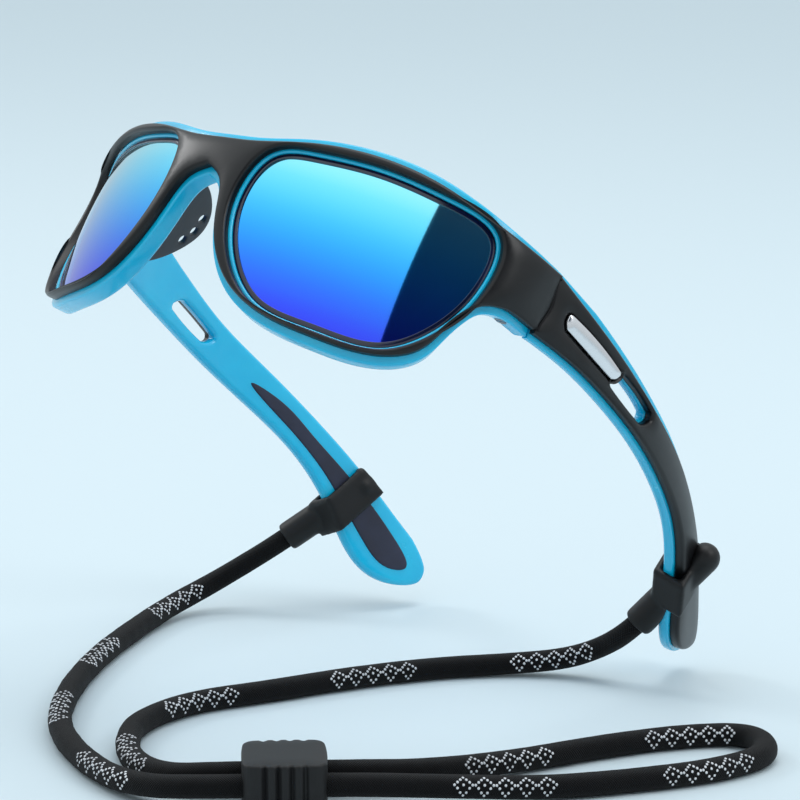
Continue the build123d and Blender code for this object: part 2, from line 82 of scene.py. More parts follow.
# Outlines of the left half, drawn upright in millimetres. Front view (x, z):
BROW_EDGE = [(0, 16.6), (9, 16.9), (22, 19.2), (37, 20.8), (52, 19.5), (62, 16.5), (72, 13.4)]
CHEEK_EDGE = [(0, 9.3), (5.0, 6.6), (8.6, -1.5), (12.6, -10.2), (19, -17.0), (28, -20.9), (40, -22.2),
              (52, -21.1), (58.6, -17.0), (61.8, -10.5), (64.0, -4.6), (66.6, -0.6), (72, -0.2)]
LENS_EDGE = [(11.6, 7.9), (15.6, -9.4), (24.5, -18.3), (38, -20.3), (51.8, -18.6), (58.9, -10.8), (62.6, 2),
             (61.8, 13.0), (52.6, 17.0), (38, 18.0), (24, 17.2), (14.2, 14.5)]
# Side view (y, z):
END_LOW = [(28, -26), (28.6, -14), (30.2, -6.8), (33, -2.8), (38, -0.9), (45, -0.4), (52, -0.5)]
TEMPLE_TOP = [(45, 14.6), (56, 11.0), (70, 7.4), (88, 3.0), (106, -0.6), (124, -5.2), (142, -11.6), (156, -18.2)]
TEMPLE_TIP = (166.5, -26.0)
TEMPLE_LOW = [(158, -30.6), (148, -28.4), (138, -20.6), (124, -12.6), (106, -8.0), (88, -5.0), (70, -2.4),
              (56, -0.9), (45, -0.2)]
TRIM = [(50.4, 8.6), (51.6, 4.3), (68.8, 1.0), (72.6, 4.0)]
SLOT = [(68.4, 0.8), (84.0, -1.8), (88.6, 1.0), (73.0, 4.0)]
GRIP = [(103, -3.8), (112, -7.0), (122, -10.0), (132, -14.2), (142, -20.4), (150, -25.6), (158, -28.0), (162, -26.0),
        (156, -20.2), (146, -15.0), (136, -10.9), (124, -6.8), (112, -3.6)]
# Plan view (x, y) of the line between a temple's halves:
TEMPLE_PLAN = [(65.76, 45), (68.8, 57), (70.1, 70), (70.0, 86), (66.3, 107), (55.6, 140), (44.4, 167)]
# A nose pad in its own plane, down the nose and back:
PAD_EDGE = [(-13.0, 0.2), (-6.0, 0.1), (3.0, 0.1), (10.5, 0.2), (9.5, 3.4), (6.6, 7.5), (1.3, 11.9), (-3.2, 13.4),
            (-7.1, 12.3), (-10.0, 9.6), (-12.5, 5.2)]
PAD_VENTS = [(-5.8, 10.4), (-2.4, 10.8), (0.6, 9.4)]

# Strap routes over the surface (x, y, height), from the sleeve's tail to the slider and round the loop
LEFT_ROUTE = [(36, 99.5, 8.2), (27, 96.5, 4.2), (16, 88, 2.7), (5, 74, 2.6), (-4.5, 54, 2.6), (-11, 33, 2.6),
              (-18.5, 14.5, 2.6), (-16, -5.5, 2.6), (-5, -19, 2.6), (7, -27, 2.7), (20, -30, 3.8)]
RIGHT_ROUTE = [(-73.8, 88, 12.0), (-79.5, 80.5, 6.8), (-81.5, 69, 3.4), (-75, 51, 2.6), (-63, 26.5, 2.6),
               (-46.8, 1.6, 2.6), (-27, -20.2, 2.6), (-0.8, -34.2, 2.6), (20, -39.5, 3.6)]
LOOP_OUT = [(60.5, 8.5, 4.4), (67.5, 30, 2.8), (74.5, 53, 2.6), (83.5, 72, 2.6), (94, 83, 2.6)]
LOOP_BACK = [(106, 74, 2.6), (104.5, 57, 2.6), (95, 38, 2.6), (84, 20.5, 2.8), (71.5, 4, 4.4)]


class Side(Enum):
    """The wearer's side that a handed piece belongs to."""

    LEFT = "left"
    RIGHT = "right"

    @property
    def sign(self) -> int:
        """+1 on the wearer's left, which is +X, and -1 on the right."""
        return 1 if self is Side.LEFT else -1


# --- Curves and outlines -----------------------------------------------------------------------------


def evenly(points: np.ndarray, step: float, closed: bool) -> np.ndarray:
    """Respaces a polyline.

    Args:
        points: the polyline, one row a point.
        step: the spacing wanted, in the polyline's units.
        closed: whether the last point joins the first.

    Returns:
        Evenly spaced points; a closed line's first point isn't repeated.
    """
    line = np.vstack([points, points[:1]]) if closed else points
    run = np.concatenate([[0], np.cumsum(np.linalg.norm(np.diff(line, axis=0), axis=1))])
    count = max(int(round(run[-1] / step)), 3)
    at = np.linspace(0, run[-1], count + 1)[: count if closed else count + 1]
    return np.stack([np.interp(at, run, line[:, i]) for i in range(line.shape[1])], axis=1)


def smooth_line(points: Sequence[Sequence[float]], closed: bool = False, step: float = 0.7) -> np.ndarray:
    """Draws the cubic spline through some points.

    Args:
        points: the points that the curve passes through.
        closed: whether it runs back to its first point.
        step: the spacing of the result.

    Returns:
        Evenly spaced points on the curve.
    """
    knots = np.array(points, float)
    if closed:
        knots = np.vstack([knots, knots[:1]])
    gaps = np.linalg.norm(np.diff(knots, axis=0), axis=1)
    slopes = np.diff(knots, axis=0) / gaps[:, None]
    count = len(knots)
    system, right = np.zeros((count, count)), np.zeros_like(knots)
    for i in range(1, count - 1):
        system[i, i - 1 : i + 2] = gaps[i], 2 * (gaps[i - 1] + gaps[i]), gaps[i - 1]
        right[i] = 3 * (gaps[i] * slopes[i - 1] + gaps[i - 1] * slopes[i])
    if closed:
        system[0, [-2, 0, 1]] = gaps[0], 2 * (gaps[-1] + gaps[0]), gaps[-1]
        right[0] = 3 * (gaps[0] * slopes[-1] + gaps[-1] * slopes[0])
        system[-1, [0, -1]] = 1, -1
    else:
        system[0, :2], right[0] = (2, 1), 3 * slopes[0]
        system[-1, -2:], right[-1] = (1, 2), 3 * slopes[-1]
    tangents = np.linalg.solve(system, right)
    t = np.linspace(0, 1, 25)[:-1, None]
    spans = []
    for i in range(count - 1):
        a, b, m, n = knots[i], knots[i + 1], tangents[i] * gaps[i], tangents[i + 1] * gaps[i]
        spans.append((2 * t**3 - 3 * t**2 + 1) * a + (t**3 - 2 * t**2 + t) * m
                     + (3 * t**2 - 2 * t**3) * b + (t**3 - t**2) * n)
    spans.append(knots[-1:])
    dense = np.vstack(spans)
    return evenly(dense[:-1] if closed else dense, step, closed)


def inset(loop: np.ndarray, distance: float) -> np.ndarray:
    """Moves a closed loop to its left by a distance, mitred at its corners."""
    ahead = np.roll(loop, -1, axis=0) - loop
    ahead /= np.linalg.norm(ahead, axis=1)[:, None]
    behind = np.roll(ahead, 1, axis=0)
    normals = [np.stack([-d[:, 1], d[:, 0]], axis=1) for d in (behind, ahead)]
    total = normals[0] + normals[1]
    scale = 1 + (normals[0] * normals[1]).sum(1)
    return loop + distance * total / np.maximum(scale, 0.35)[:, None]


def rounded_corners(points: Outline, radius: float, step: float = 0.35, bow: float = 0.25) -> np.ndarray:
    """A straight-sided outline with round corners, as closely spaced points.

    Args:
        points: the corners, anticlockwise.
        radius: of each corner.
        step: the spacing of the result.
        bow: how far the middle of each side swells outwards, so that no three points are in line.

    Returns:
        Evenly spaced points round the outline.
    """
    ring = anticlockwise(np.array(points, float))
    arcs = []
    for i, corner in enumerate(ring):
        before, after = ring[i - 1] - corner, ring[(i + 1) % len(ring)] - corner
        u, v = before / np.linalg.norm(before), after / np.linalg.norm(after)
        half = math.acos(float(np.clip(u @ v, -1, 1))) / 2
        reach = radius / math.tan(half)
        start, end = corner + u * reach, corner + v * reach
        centre = corner + (u + v) / np.linalg.norm(u + v) * radius / math.sin(half)
        spokes = np.array([(start * (1 - t) + end * t) - centre for t in np.linspace(0, 1, 7)])
        arcs.append(centre + spokes / np.linalg.norm(spokes, axis=1)[:, None] * radius)
    out = []
    for i, arc in enumerate(arcs):
        side = arcs[(i + 1) % len(arcs)][0] - arc[-1]
        run = np.linalg.norm(side)
        outwards = np.array([side[1], -side[0]]) / run
        t = np.linspace(0, 1, max(int(3 * run / step), 3))[1:-1, None]
        out += [arc, arc[-1] + side * t + outwards * bow * 4 * t * (1 - t)]
    return evenly(np.vstack(out), step, True)


def anticlockwise(loop: np.ndarray) -> np.ndarray:
    """The loop turned so that its inside is on the left."""
    x, y = loop[:, 0], loop[:, 1]
    area = np.sum(x * np.roll(y, -1) - np.roll(x, -1) * y)
    return loop if area > 0 else loop[::-1]


def within(points: np.ndarray, loop: np.ndarray) -> np.ndarray:
    """Which points lie inside a closed loop."""
    x, y = points[:, 0:1], points[:, 1:2]
    (x1, y1), (x2, y2) = loop.T, np.roll(loop, -1, axis=0).T
    crosses = (y1 > y) != (y2 > y)
    slope = (x2 - x1) * (y - y1) / np.where(y2 == y1, 1e-12, y2 - y1) + x1
    return (np.sum(crosses & (x < slope), axis=1) % 2) == 1


def nearest(points: np.ndarray, loops: Sequence[np.ndarray]) -> np.ndarray:
    """Each point's distance to the nearest of the loops' points."""
    edge = np.vstack(loops)
    out = np.empty(len(points))
    for start in range(0, len(points), 2000):
        block = points[start : start + 2000, None, :] - edge[None, :, :]
        out[start : start + 2000] = np.sqrt((block**2).sum(2)).min(1)
    return out


# --- Surfaces that plates are bent over ---------------------------------------------------------------


@dataclass(frozen=True)
class Wrap:
    """The curved surface of the front, by distance round the face, upright height and height off the shell's seat."""

    radius: float = 85.0
    half: float = math.radians(44.0)
    corner: float = 22.0
    vertical: float = 120.0
    end: float = 45.0

    @property
    def corner_at(self) -> tuple[float, float]:
        """The plan centre of the corner's arc."""
        reach = self.radius - self.corner
        return reach * math.sin(self.half), self.radius - reach * math.cos(self.half)

    @property
    def side_x(self) -> float:
        """The seat's distance from the middle beside the hinge."""
        return self.corner_at[0] + self.corner

    @property
    def stops(self) -> tuple[float, float, float]:
        """Distances round the face where the lens arc, the corner and the straight end stop."""
        first = self.radius * self.half
        second = first + self.corner * (math.pi / 2 - self.half)
        return first, second, second + self.end - self.corner_at[1]

    def plan(self, s: np.ndarray, h: np.ndarray) -> tuple[np.ndarray, np.ndarray]:
        """Plan (x, y) at distances round the face and heights off the seat."""
        first, second, _ = self.stops
        run, sign = np.abs(s), np.sign(s) + (s == 0)
        angle = np.where(run < first, run / self.radius, self.half + (run - first) / self.corner)
        angle = np.minimum(angle, math.pi / 2)
        centre_x, centre_y = self.corner_at
        on_arc = run < first
        x = np.where(on_arc, (self.radius + h) * np.sin(angle), centre_x + (self.corner + h) * np.sin(angle))
        y = np.where(on_arc, self.radius - (self.radius + h) * np.cos(angle),
                     centre_y - (self.corner + h) * np.cos(angle))
        return sign * x, y + np.maximum(run - second, 0)

    def place(self, s: np.ndarray, z: np.ndarray, h: np.ndarray) -> np.ndarray:
        """Upright points at distances round the face, heights and heights off the seat."""
        x, y = self.plan(s, h)
        depth = self.vertical - y
        return np.stack([x, self.vertical - np.sqrt(np.maximum(depth**2 - z**2, 1.0)), z], axis=1)

    def station(self, x: np.ndarray, h: float) -> np.ndarray:
        """Distance round the face at a front view x, on the layer at a height off the seat."""
        first, _, _ = self.stops
        lens = np.arcsin(np.clip(x / (self.radius + h), -1, 1)) * self.radius
        share = np.clip((x - self.corner_at[0]) / (self.corner + h), -1, 1)
        bend = first + (np.arcsin(share) - self.half) * self.corner
        return np.where(x < (self.radius + h) * math.sin(self.half), lens, bend)


class TempleLine:
    """The curved plane between a left temple's halves, by worn y and z, and height outwards."""

    def __init__(self) -> None:
        """Draws the plan line once, with a straight lead-in ahead of the hinge."""
        line = smooth_line(TEMPLE_PLAN, step=0.5)
        slope = np.gradient(line[:, 0], line[:, 1])
        self.y, self.x, self.slope = line[:, 1], line[:, 0], slope

    def place(self, y: np.ndarray, z: np.ndarray, h: np.ndarray) -> np.ndarray:
        """Upright points beside the plan line."""
        x, slope = np.interp(y, self.y, self.x), np.interp(y, self.y, self.slope)
        size = np.sqrt(1 + slope**2)
        return np.stack([x + h / size, y - h * slope / size, z], axis=1)


@dataclass(frozen=True)
class FlatPlane:
    """A flat plane by its origin and its two directions in the upright frame."""

    origin: tuple[float, float, float]
    across: tuple[float, float, float]
    along: tuple[float, float, float]

    def place(self, u: np.ndarray, v: np.ndarray, h: np.ndarray) -> np.ndarray:
        """Upright points on the plane and off it."""
        x_dir = Vector(self.across).normalized()
        normal = x_dir.cross(Vector(self.along)).normalized()
        y_dir = normal.cross(x_dir)
        base = np.array(self.origin)[None, :]
        return base + u[:, None] * np.array(x_dir) + v[:, None] * np.array(y_dir) + h[:, None] * np.array(normal)


# --- Plates -------------------------------------------------------------------------------------------


@dataclass
class Plate:
    """A moulded plate bent over a surface: an outline with holes and pockets, two skins and rounded edges."""

    place: Place
    outline: np.ndarray
    low: float
    high: float
    round_low: float = 0.6
    round_high: float = 0.8
    holes: Sequence[np.ndarray] = ()
    pockets: Sequence[tuple[np.ndarray, float]] = ()
    crown: float = 0.0
    crown_width: float = 4.0
    grid: float = 1.7
    steps: int = 4
    relief: Callable[[np.ndarray], np.ndarray] | None = None
    points: list[np.ndarray] = field(default_factory=list)
    faces: list[tuple[int, ...]] = field(default_factory=list)

    def _add(self, flat: np.ndarray, heights: np.ndarray) -> np.ndarray:
        """Adds points and returns their numbers."""
        first = sum(len(p) for p in self.points)
        self.points.append(self.place(flat[:, 0], flat[:, 1], heights))
        return np.arange(first, first + len(flat))

    def _strip(self, low: np.ndarray, high: np.ndarray, turned: bool = False) -> None:
        """Joins two rings of the same count with quads that face right of their direction."""
        for i in range(len(low)):
            j = (i + 1) % len(low)
            quad = (int(low[i]), int(low[j]), int(high[j]), int(high[i]))
            self.faces.append(quad[::-1] if turned else quad)

    def _fill(self, loops: list[np.ndarray], numbers: list[np.ndarray], height: Callable[[np.ndarray], np.ndarray],
              up: bool) -> None:
        """Fills the region between an outer loop and its holes with triangles.

        Args:
            loops: the outer loop, then the holes, as flat points.
            numbers: the point numbers of the same loops.
            height: gives the height of added inner points.
            up: whether the skin faces the high side.
        """
        outer = loops[0]
        low, top = outer.min(0), outer.max(0)
        xs = np.arange(low[0], top[0], self.grid)
        ys = np.arange(low[1], top[1], self.grid * 0.87)
        mesh = np.array([(x + (j % 2) * self.grid / 2, y) for j, y in enumerate(ys) for x in xs])
        keep = within(mesh, outer)
        for hole in loops[1:]:
            keep &= ~within(mesh, hole)
        mesh = mesh[keep]
        if len(mesh):
            mesh = mesh[nearest(mesh, loops) > 0.55 * self.grid]
        inner = self._add(mesh, height(mesh)) if len(mesh) else np.zeros(0, int)
        flat = np.vstack(loops + [mesh]) if len(mesh) else np.vstack(loops)
        index = np.concatenate(numbers + [inner])
        edges, base = [], 0
        for loop in loops:
            edges += [(base + i, base + (i + 1) % len(loop)) for i in range(len(loop))]
            base += len(loop)
        found = delaunay_2d_cdt([Vector(p) for p in flat], edges, [], 0, 1e-7)
        origin = [o[0] if o else -1 for o in found[3]]
        triangles = np.array([[origin[i] for i in f] for f in found[2]])
        triangles = triangles[(triangles >= 0).all(1)]
        middle = flat[triangles].mean(1)
        keep = within(middle, outer)
        for hole in loops[1:]:
            keep &= ~within(middle, hole)
        for a, b, c in triangles[keep]:
            (ax, ay), (bx, by), (cx, cy) = flat[a], flat[b], flat[c]
            if ((bx - ax) * (cy - ay) - (by - ay) * (cx - ax) > 0) != up:
                b, c = c, b
            self.faces.append((int(index[a]), int(index[b]), int(index[c])))

    def _skin(self, loops: list[np.ndarray], up: bool) -> list[np.ndarray]:
        """Builds one skin with its rounded edge and returns the point numbers of its loops at the walls."""
        edge = self.round_high if up else self.round_low
        level = self.high if up else self.low
        sign = 1 if up else -1

        def dome(flat: np.ndarray, away: np.ndarray) -> np.ndarray:
            share = np.clip(away / self.crown_width, 0, 1)
            swell = self.crown * (1 - (1 - share) ** 2) if up else np.zeros(len(flat))
            extra = self.relief(flat) * share if up and self.relief else 0.0
            return swell + extra

        walls, last, last_numbers = [], [], []
        for loop in loops:
            before = None
            for k in range(self.steps + 1):
                turn = k / self.steps * math.pi / 2
                flat = inset(loop, edge * (1 - math.cos(turn)))
                away = np.full(len(flat), edge * (1 - math.cos(turn)))
                ring = self._add(flat, level - sign * edge * (1 - math.sin(turn)) + dome(flat, away))
                if before is None:
                    walls.append(ring)
                else:
                    self._strip(before, ring, turned=not up)
                before = ring
            last.append(flat)
            last_numbers.append(before)
        self._fill(last, last_numbers, lambda p: level + dome(p, nearest(p, loops)), up)
        return walls

    def build(self) -> tuple[np.ndarray, list[tuple[int, ...]]]:
        """Builds the plate.

        Returns:
            The upright points in millimetres and the faces.
        """
        outer = anticlockwise(self.outline)
        holes = [anticlockwise(h)[::-1] for h in self.holes]
        pockets = [(anticlockwise(p)[::-1], floor) for p, floor in self.pockets]
        high = self._skin([outer] + holes + [p for p, _ in pockets], True)
        low = self._skin([outer] + holes, False)
        for a, b in zip(low, high):
            self._strip(a, b)
        for (loop, floor), rim in zip(pockets, high[len(low):]):
            foot = self._add(loop, np.full(len(loop), floor))
            self._strip(foot, rim)
            self._fill([loop[::-1]], [foot[::-1]], lambda p, f=floor: np.full(len(p), f), True)
        return np.vstack(self.points), self.faces


# --- Blender meshes -----------------------------------------------------------------------------------


def tipped(points: np.ndarray) -> np.ndarray:
    """Upright millimetres to metres in the frame's own attitude."""
    x, y, z = points.T
    c, s = math.cos(PITCH), math.sin(PITCH)
    return np.stack([x, y * c + z * s, z * c - y * s], axis=1) * MM


def mesh_object(name: str, points: np.ndarray, faces: Sequence[Sequence[int]], material: bpy.types.Material,
                crease: float = 38.0) -> bpy.types.Object:
    """Makes a mesh object at the origin.

    Args:
        name: the piece's name.
        points: its points in metres, in the frame.
        faces: its faces, pointing outwards.
        material: its finish.
        crease: edges sharper than this many degrees stay sharp.

    Returns:
        The linked object.
    """
    mesh = bpy.data.meshes.new(name)
    mesh.from_pydata(points.tolist(), [], [list(f) for f in faces])
    mesh.validate()
    mesh.materials.append(material)
    obj = bpy.data.objects.new(name, mesh)
    bpy.context.scene.collection.objects.link(obj)
    mesh.shade_smooth()
    mesh.set_sharp_from_angle(angle=math.radians(crease))
    return obj


def mirrored(points: np.ndarray, faces: Sequence[Sequence[int]]) -> tuple[np.ndarray, list[tuple[int, ...]]]:
    """The same piece on the wearer's other side, its faces still outwards."""
    return points * np.array([-1, 1, 1]), [tuple(f)[::-1] for f in faces]


def merged(pieces: Sequence[tuple[np.ndarray, Sequence[Sequence[int]]]]) -> tuple[np.ndarray, list[tuple[int, ...]]]:
    """Several meshes as one."""
    points, faces, base = [], [], 0
    for p, f in pieces:
        points.append(p)
        faces += [tuple(i + base for i in face) for face in f]
        base += len(p)
    return np.vstack(points), faces


def turned_bar(start: Sequence[float], end: Sequence[float], profile: Sequence[tuple[float, float]],
               sides: int = 40) -> tuple[np.ndarray, list[tuple[int, ...]]]:
    """A closed turned shape between two points.

    Args:
        start: where the axis starts.
        end: where it ends.
        profile: (share of the length, radius) pairs in order; the ends close on the axis.
        sides: points round the axis.

    Returns:
        Points and faces.
    """
    a, b = Vector(start), Vector(end)
    axis = (b - a).normalized()
    side = axis.orthogonal().normalized()
    other = axis.cross(side)
    angles = np.linspace(0, 2 * math.pi, sides, endpoint=False)
    spoke = np.cos(angles)[:, None] * np.array(side) + np.sin(angles)[:, None] * np.array(other)
    rings = [np.array(a + (b - a) * share) + spoke * radius for share, radius in profile]
    points = np.vstack(rings + [np.array([a + (b - a) * profile[0][0], a + (b - a) * profile[-1][0]])])
    faces = []
    for k in range(len(rings) - 1):
        for i in range(sides):
            j = (i + 1) % sides
            faces.append((k * sides + i, k * sides + j, (k + 1) * sides + j, (k + 1) * sides + i))
    first, last = len(rings) * sides, len(rings) * sides + 1
    for i in range(sides):
        j = (i + 1) % sides
        faces.append((first, j, i))
        faces.append((last, (len(rings) - 1) * sides + i, (len(rings) - 1) * sides + j))
    return points, faces


# --- Finishes -----------------------------------------------------------------------------------------


def linear(red: int, green: int, blue: int) -> tuple[float, float, float, float]:
    """A display colour of 0 to 255 in linear light."""
    return tuple((c / 255 / 12.92 if c / 255 <= 0.04045 else ((c / 255 + 0.055) / 1.055) ** 2.4)
                 for c in (red, green, blue)) + (1.0,)


class Nodes:
    """A material's node tree with short ways to add and join nodes."""

    def __init__(self, name: str) -> None:
        """Starts a material that has a Principled shader alone."""
        self.material = bpy.data.materials.new(name)
        self.material.use_nodes = True
        self.tree = self.material.node_tree
        self.shader = self.tree.nodes["Principled BSDF"]

    def add(self, kind: str, **settings) -> bpy.types.Node:
        """Adds a node; settings name its properties, or its sockets where it has no such property."""
        node = self.tree.nodes.new(kind)
        for key, value in settings.items():
            if hasattr(node, key):
                setattr(node, key, value)
            else:
                node.inputs[key.replace("_", " ")].default_value = value
        return node

    def link(self, start: bpy.types.NodeSocket, end: bpy.types.NodeSocket) -> None:
        """Joins two sockets."""
        self.tree.links.new(start, end)

    def plain(self, **values) -> None:
        """Sets sockets of the shader by name, with underscores for spaces."""
        for key, value in values.items():
            self.shader.inputs[key.replace("_", " ")].default_value = value


def surface_grain_group() -> bpy.types.NodeTree:
    """The moulding grain, handling marks and rubbed tone that every plastic and rubber shares."""
    name = "Surface Grain"
    if name in bpy.data.node_groups:
        return bpy.data.node_groups[name]
    tree = bpy.data.node_groups.new(name, "ShaderNodeTree")
    sockets = tree.interface
    for label, kind, value in (
            ("Colour", "NodeSocketColor", (0.5, 0.5, 0.5, 1)), ("Rubbed", "NodeSocketColor", (0.6, 0.6, 0.6, 1)),
            ("Roughness", "NodeSocketFloat", 0.4), ("Variation", "NodeSocketFloat", 0.08),
            ("Grain Scale", "NodeSocketFloat", 2500.0), ("Grain", "NodeSocketFloat", 0.4)):
        socket = sockets.new_socket(label, in_out="INPUT", socket_type=kind)
        socket.default_value = value
    outputs = (("Colour", "NodeSocketColor"), ("Roughness", "NodeSocketFloat"), ("Height", "NodeSocketFloat"))
    for label, kind in outputs:
        sockets.new_socket(label, in_out="OUTPUT", socket_type=kind)
    nodes, links = tree.nodes, tree.links
    start, end = nodes.new("NodeGroupInput"), nodes.new("NodeGroupOutput")
    place = nodes.new("ShaderNodeTexCoord")
    grain = nodes.new("ShaderNodeTexNoise")
    grain.inputs["Detail"].default_value = 3.0
    broad = nodes.new("ShaderNodeTexNoise")
    broad.inputs["Scale"].default_value = 90.0
    broad.inputs["Detail"].default_value = 4.0
    links.new(place.outputs["Object"], grain.inputs["Vector"])
    links.new(place.outputs["Object"], broad.inputs["Vector"])
    links.new(start.outputs["Grain Scale"], grain.inputs["Scale"])
    share = nodes.new("ShaderNodeMapRange")
    share.inputs["From Min"].default_value, share.inputs["From Max"].default_value = 0.42, 0.72
    links.new(broad.outputs["Fac"], share.inputs["Value"])
    tone = nodes.new("ShaderNodeMix")
    tone.data_type = "RGBA"
    links.new(share.outputs["Result"], tone.inputs["Factor"])
    links.new(start.outputs["Colour"], tone.inputs[6])
    links.new(start.outputs["Rubbed"], tone.inputs[7])
    links.new(tone.outputs[2], end.inputs["Colour"])
    offset = nodes.new("ShaderNodeMath")
    offset.operation = "SUBTRACT"
    offset.inputs[1].default_value = 0.5
    links.new(broad.outputs["Fac"], offset.inputs[0])
    rough = nodes.new("ShaderNodeMath")
    rough.operation = "MULTIPLY_ADD"
    links.new(offset.outputs[0], rough.inputs[0])
    links.new(start.outputs["Variation"], rough.inputs[1])
    links.new(start.outputs["Roughness"], rough.inputs[2])
    links.new(rough.outputs[0], end.inputs["Roughness"])
    height = nodes.new("ShaderNodeMath")
    height.operation = "MULTIPLY"
    links.new(grain.outputs["Fac"], height.inputs[0])
    links.new(start.outputs["Grain"], height.inputs[1])
    links.new(height.outputs[0], end.inputs["Height"])
    return tree


@dataclass(frozen=True)
class MouldedFinish:
    """A moulded plastic or rubber: its colour, its rubbed tone, gloss and grain."""

    name: str
    colour: tuple[int, int, int]
    rubbed: tuple[int, int, int]
    roughness: float
    variation: float = 0.08
    grain_scale: float = 2600.0
    grain: float = 0.3
    coat: float = 0.0
    specular: float = 0.5

    def make(self) -> bpy.types.Material:
        """Builds the material."""
        nodes = Nodes(self.name)
        grain = nodes.add("ShaderNodeGroup", node_tree=surface_grain_group())
        grain.inputs["Colour"].default_value = linear(*self.colour)
        grain.inputs["Rubbed"].default_value = linear(*self.rubbed)
        grain.inputs["Roughness"].default_value = self.roughness
        grain.inputs["Variation"].default_value = self.variation
        grain.inputs["Grain Scale"].default_value = self.grain_scale
        grain.inputs["Grain"].default_value = self.grain
        bump = nodes.add("ShaderNodeBump", Strength=0.35, Distance=0.00006)
        nodes.link(grain.outputs["Colour"], nodes.shader.inputs["Base Color"])
        nodes.link(grain.outputs["Roughness"], nodes.shader.inputs["Roughness"])
        nodes.link(grain.outputs["Height"], bump.inputs["Height"])
        nodes.link(bump.outputs["Normal"], nodes.shader.inputs["Normal"])
        nodes.plain(Coat_Weight=self.coat, Coat_Roughness=0.12, Specular_IOR_Level=self.specular)
        return nodes.material


@dataclass(frozen=True)
class BrushedMetal:
    """A satin metal with fine scratches along the worn Y direction."""

    name: str
    colour: tuple[int, int, int]
    roughness: float

    def make(self) -> bpy.types.Material:
        """Builds the material."""
        nodes = Nodes(self.name)
        place = nodes.add("ShaderNodeTexCoord")
        stretch = nodes.add("ShaderNodeMapping")
        stretch.inputs["Rotation"].default_value = (PITCH, 0, 0)
        stretch.inputs["Scale"].default_value = (1, 0.04, 1)
        noise = nodes.add("ShaderNodeTexNoise", Scale=5200.0, Detail=2.0)
        ramp = nodes.add("ShaderNodeMapRange")
        ramp.inputs["To Min"].default_value = self.roughness - 0.07
        ramp.inputs["To Max"].default_value = self.roughness + 0.07
        nodes.link(place.outputs["Object"], stretch.inputs["Vector"])
        nodes.link(stretch.outputs["Vector"], noise.inputs["Vector"])
        nodes.link(noise.outputs["Fac"], ramp.inputs["Value"])
        nodes.link(ramp.outputs["Result"], nodes.shader.inputs["Roughness"])
        nodes.plain(Base_Color=linear(*self.colour), Metallic=1.0)
        return nodes.material


@dataclass(frozen=True)
class MirrorLens:
    """A mirror coating that runs from pale cyan at the brow to violet blue at the cheek."""

    name: str = "lens_mirror"
    top: float = 0.016
    bottom: float = -0.020
    bands: tuple[tuple[float, tuple[int, int, int]], ...] = (
        (0.0, (52, 60, 255)), (0.16, (44, 92, 255)), (0.40, (22, 148, 255)), (0.66, (48, 196, 255)),
        (0.88, (110, 228, 255)), (1.0, (150, 238, 255)))

    def make(self) -> bpy.types.Material:
        """Builds the material."""
        nodes = Nodes(self.name)
        place = nodes.add("ShaderNodeTexCoord")
        upright = nodes.add("ShaderNodeMapping")
        upright.inputs["Rotation"].default_value = (PITCH, 0, 0)
        axes = nodes.add("ShaderNodeSeparateXYZ")
        share = nodes.add("ShaderNodeMapRange")
        share.inputs["From Min"].default_value = self.bottom
        share.inputs["From Max"].default_value = self.top
        ramp = nodes.add("ShaderNodeValToRGB")
        ramp.color_ramp.interpolation = "B_SPLINE"
        while len(ramp.color_ramp.elements) < len(self.bands):
            ramp.color_ramp.elements.new(0.5)
        for element, (at, colour) in zip(ramp.color_ramp.elements, self.bands):
            element.position = at
            element.color = linear(*colour)
        nodes.link(place.outputs["Object"], upright.inputs["Vector"])
        nodes.link(upright.outputs["Vector"], axes.inputs["Vector"])
        nodes.link(axes.outputs["Z"], share.inputs["Value"])
        nodes.link(share.outputs["Result"], ramp.inputs["Fac"])
        nodes.link(ramp.outputs["Color"], nodes.shader.inputs["Base Color"])
        nodes.plain(Metallic=1.0, Roughness=0.045, Coat_Weight=0.6, Coat_Roughness=0.03)
        return nodes.material


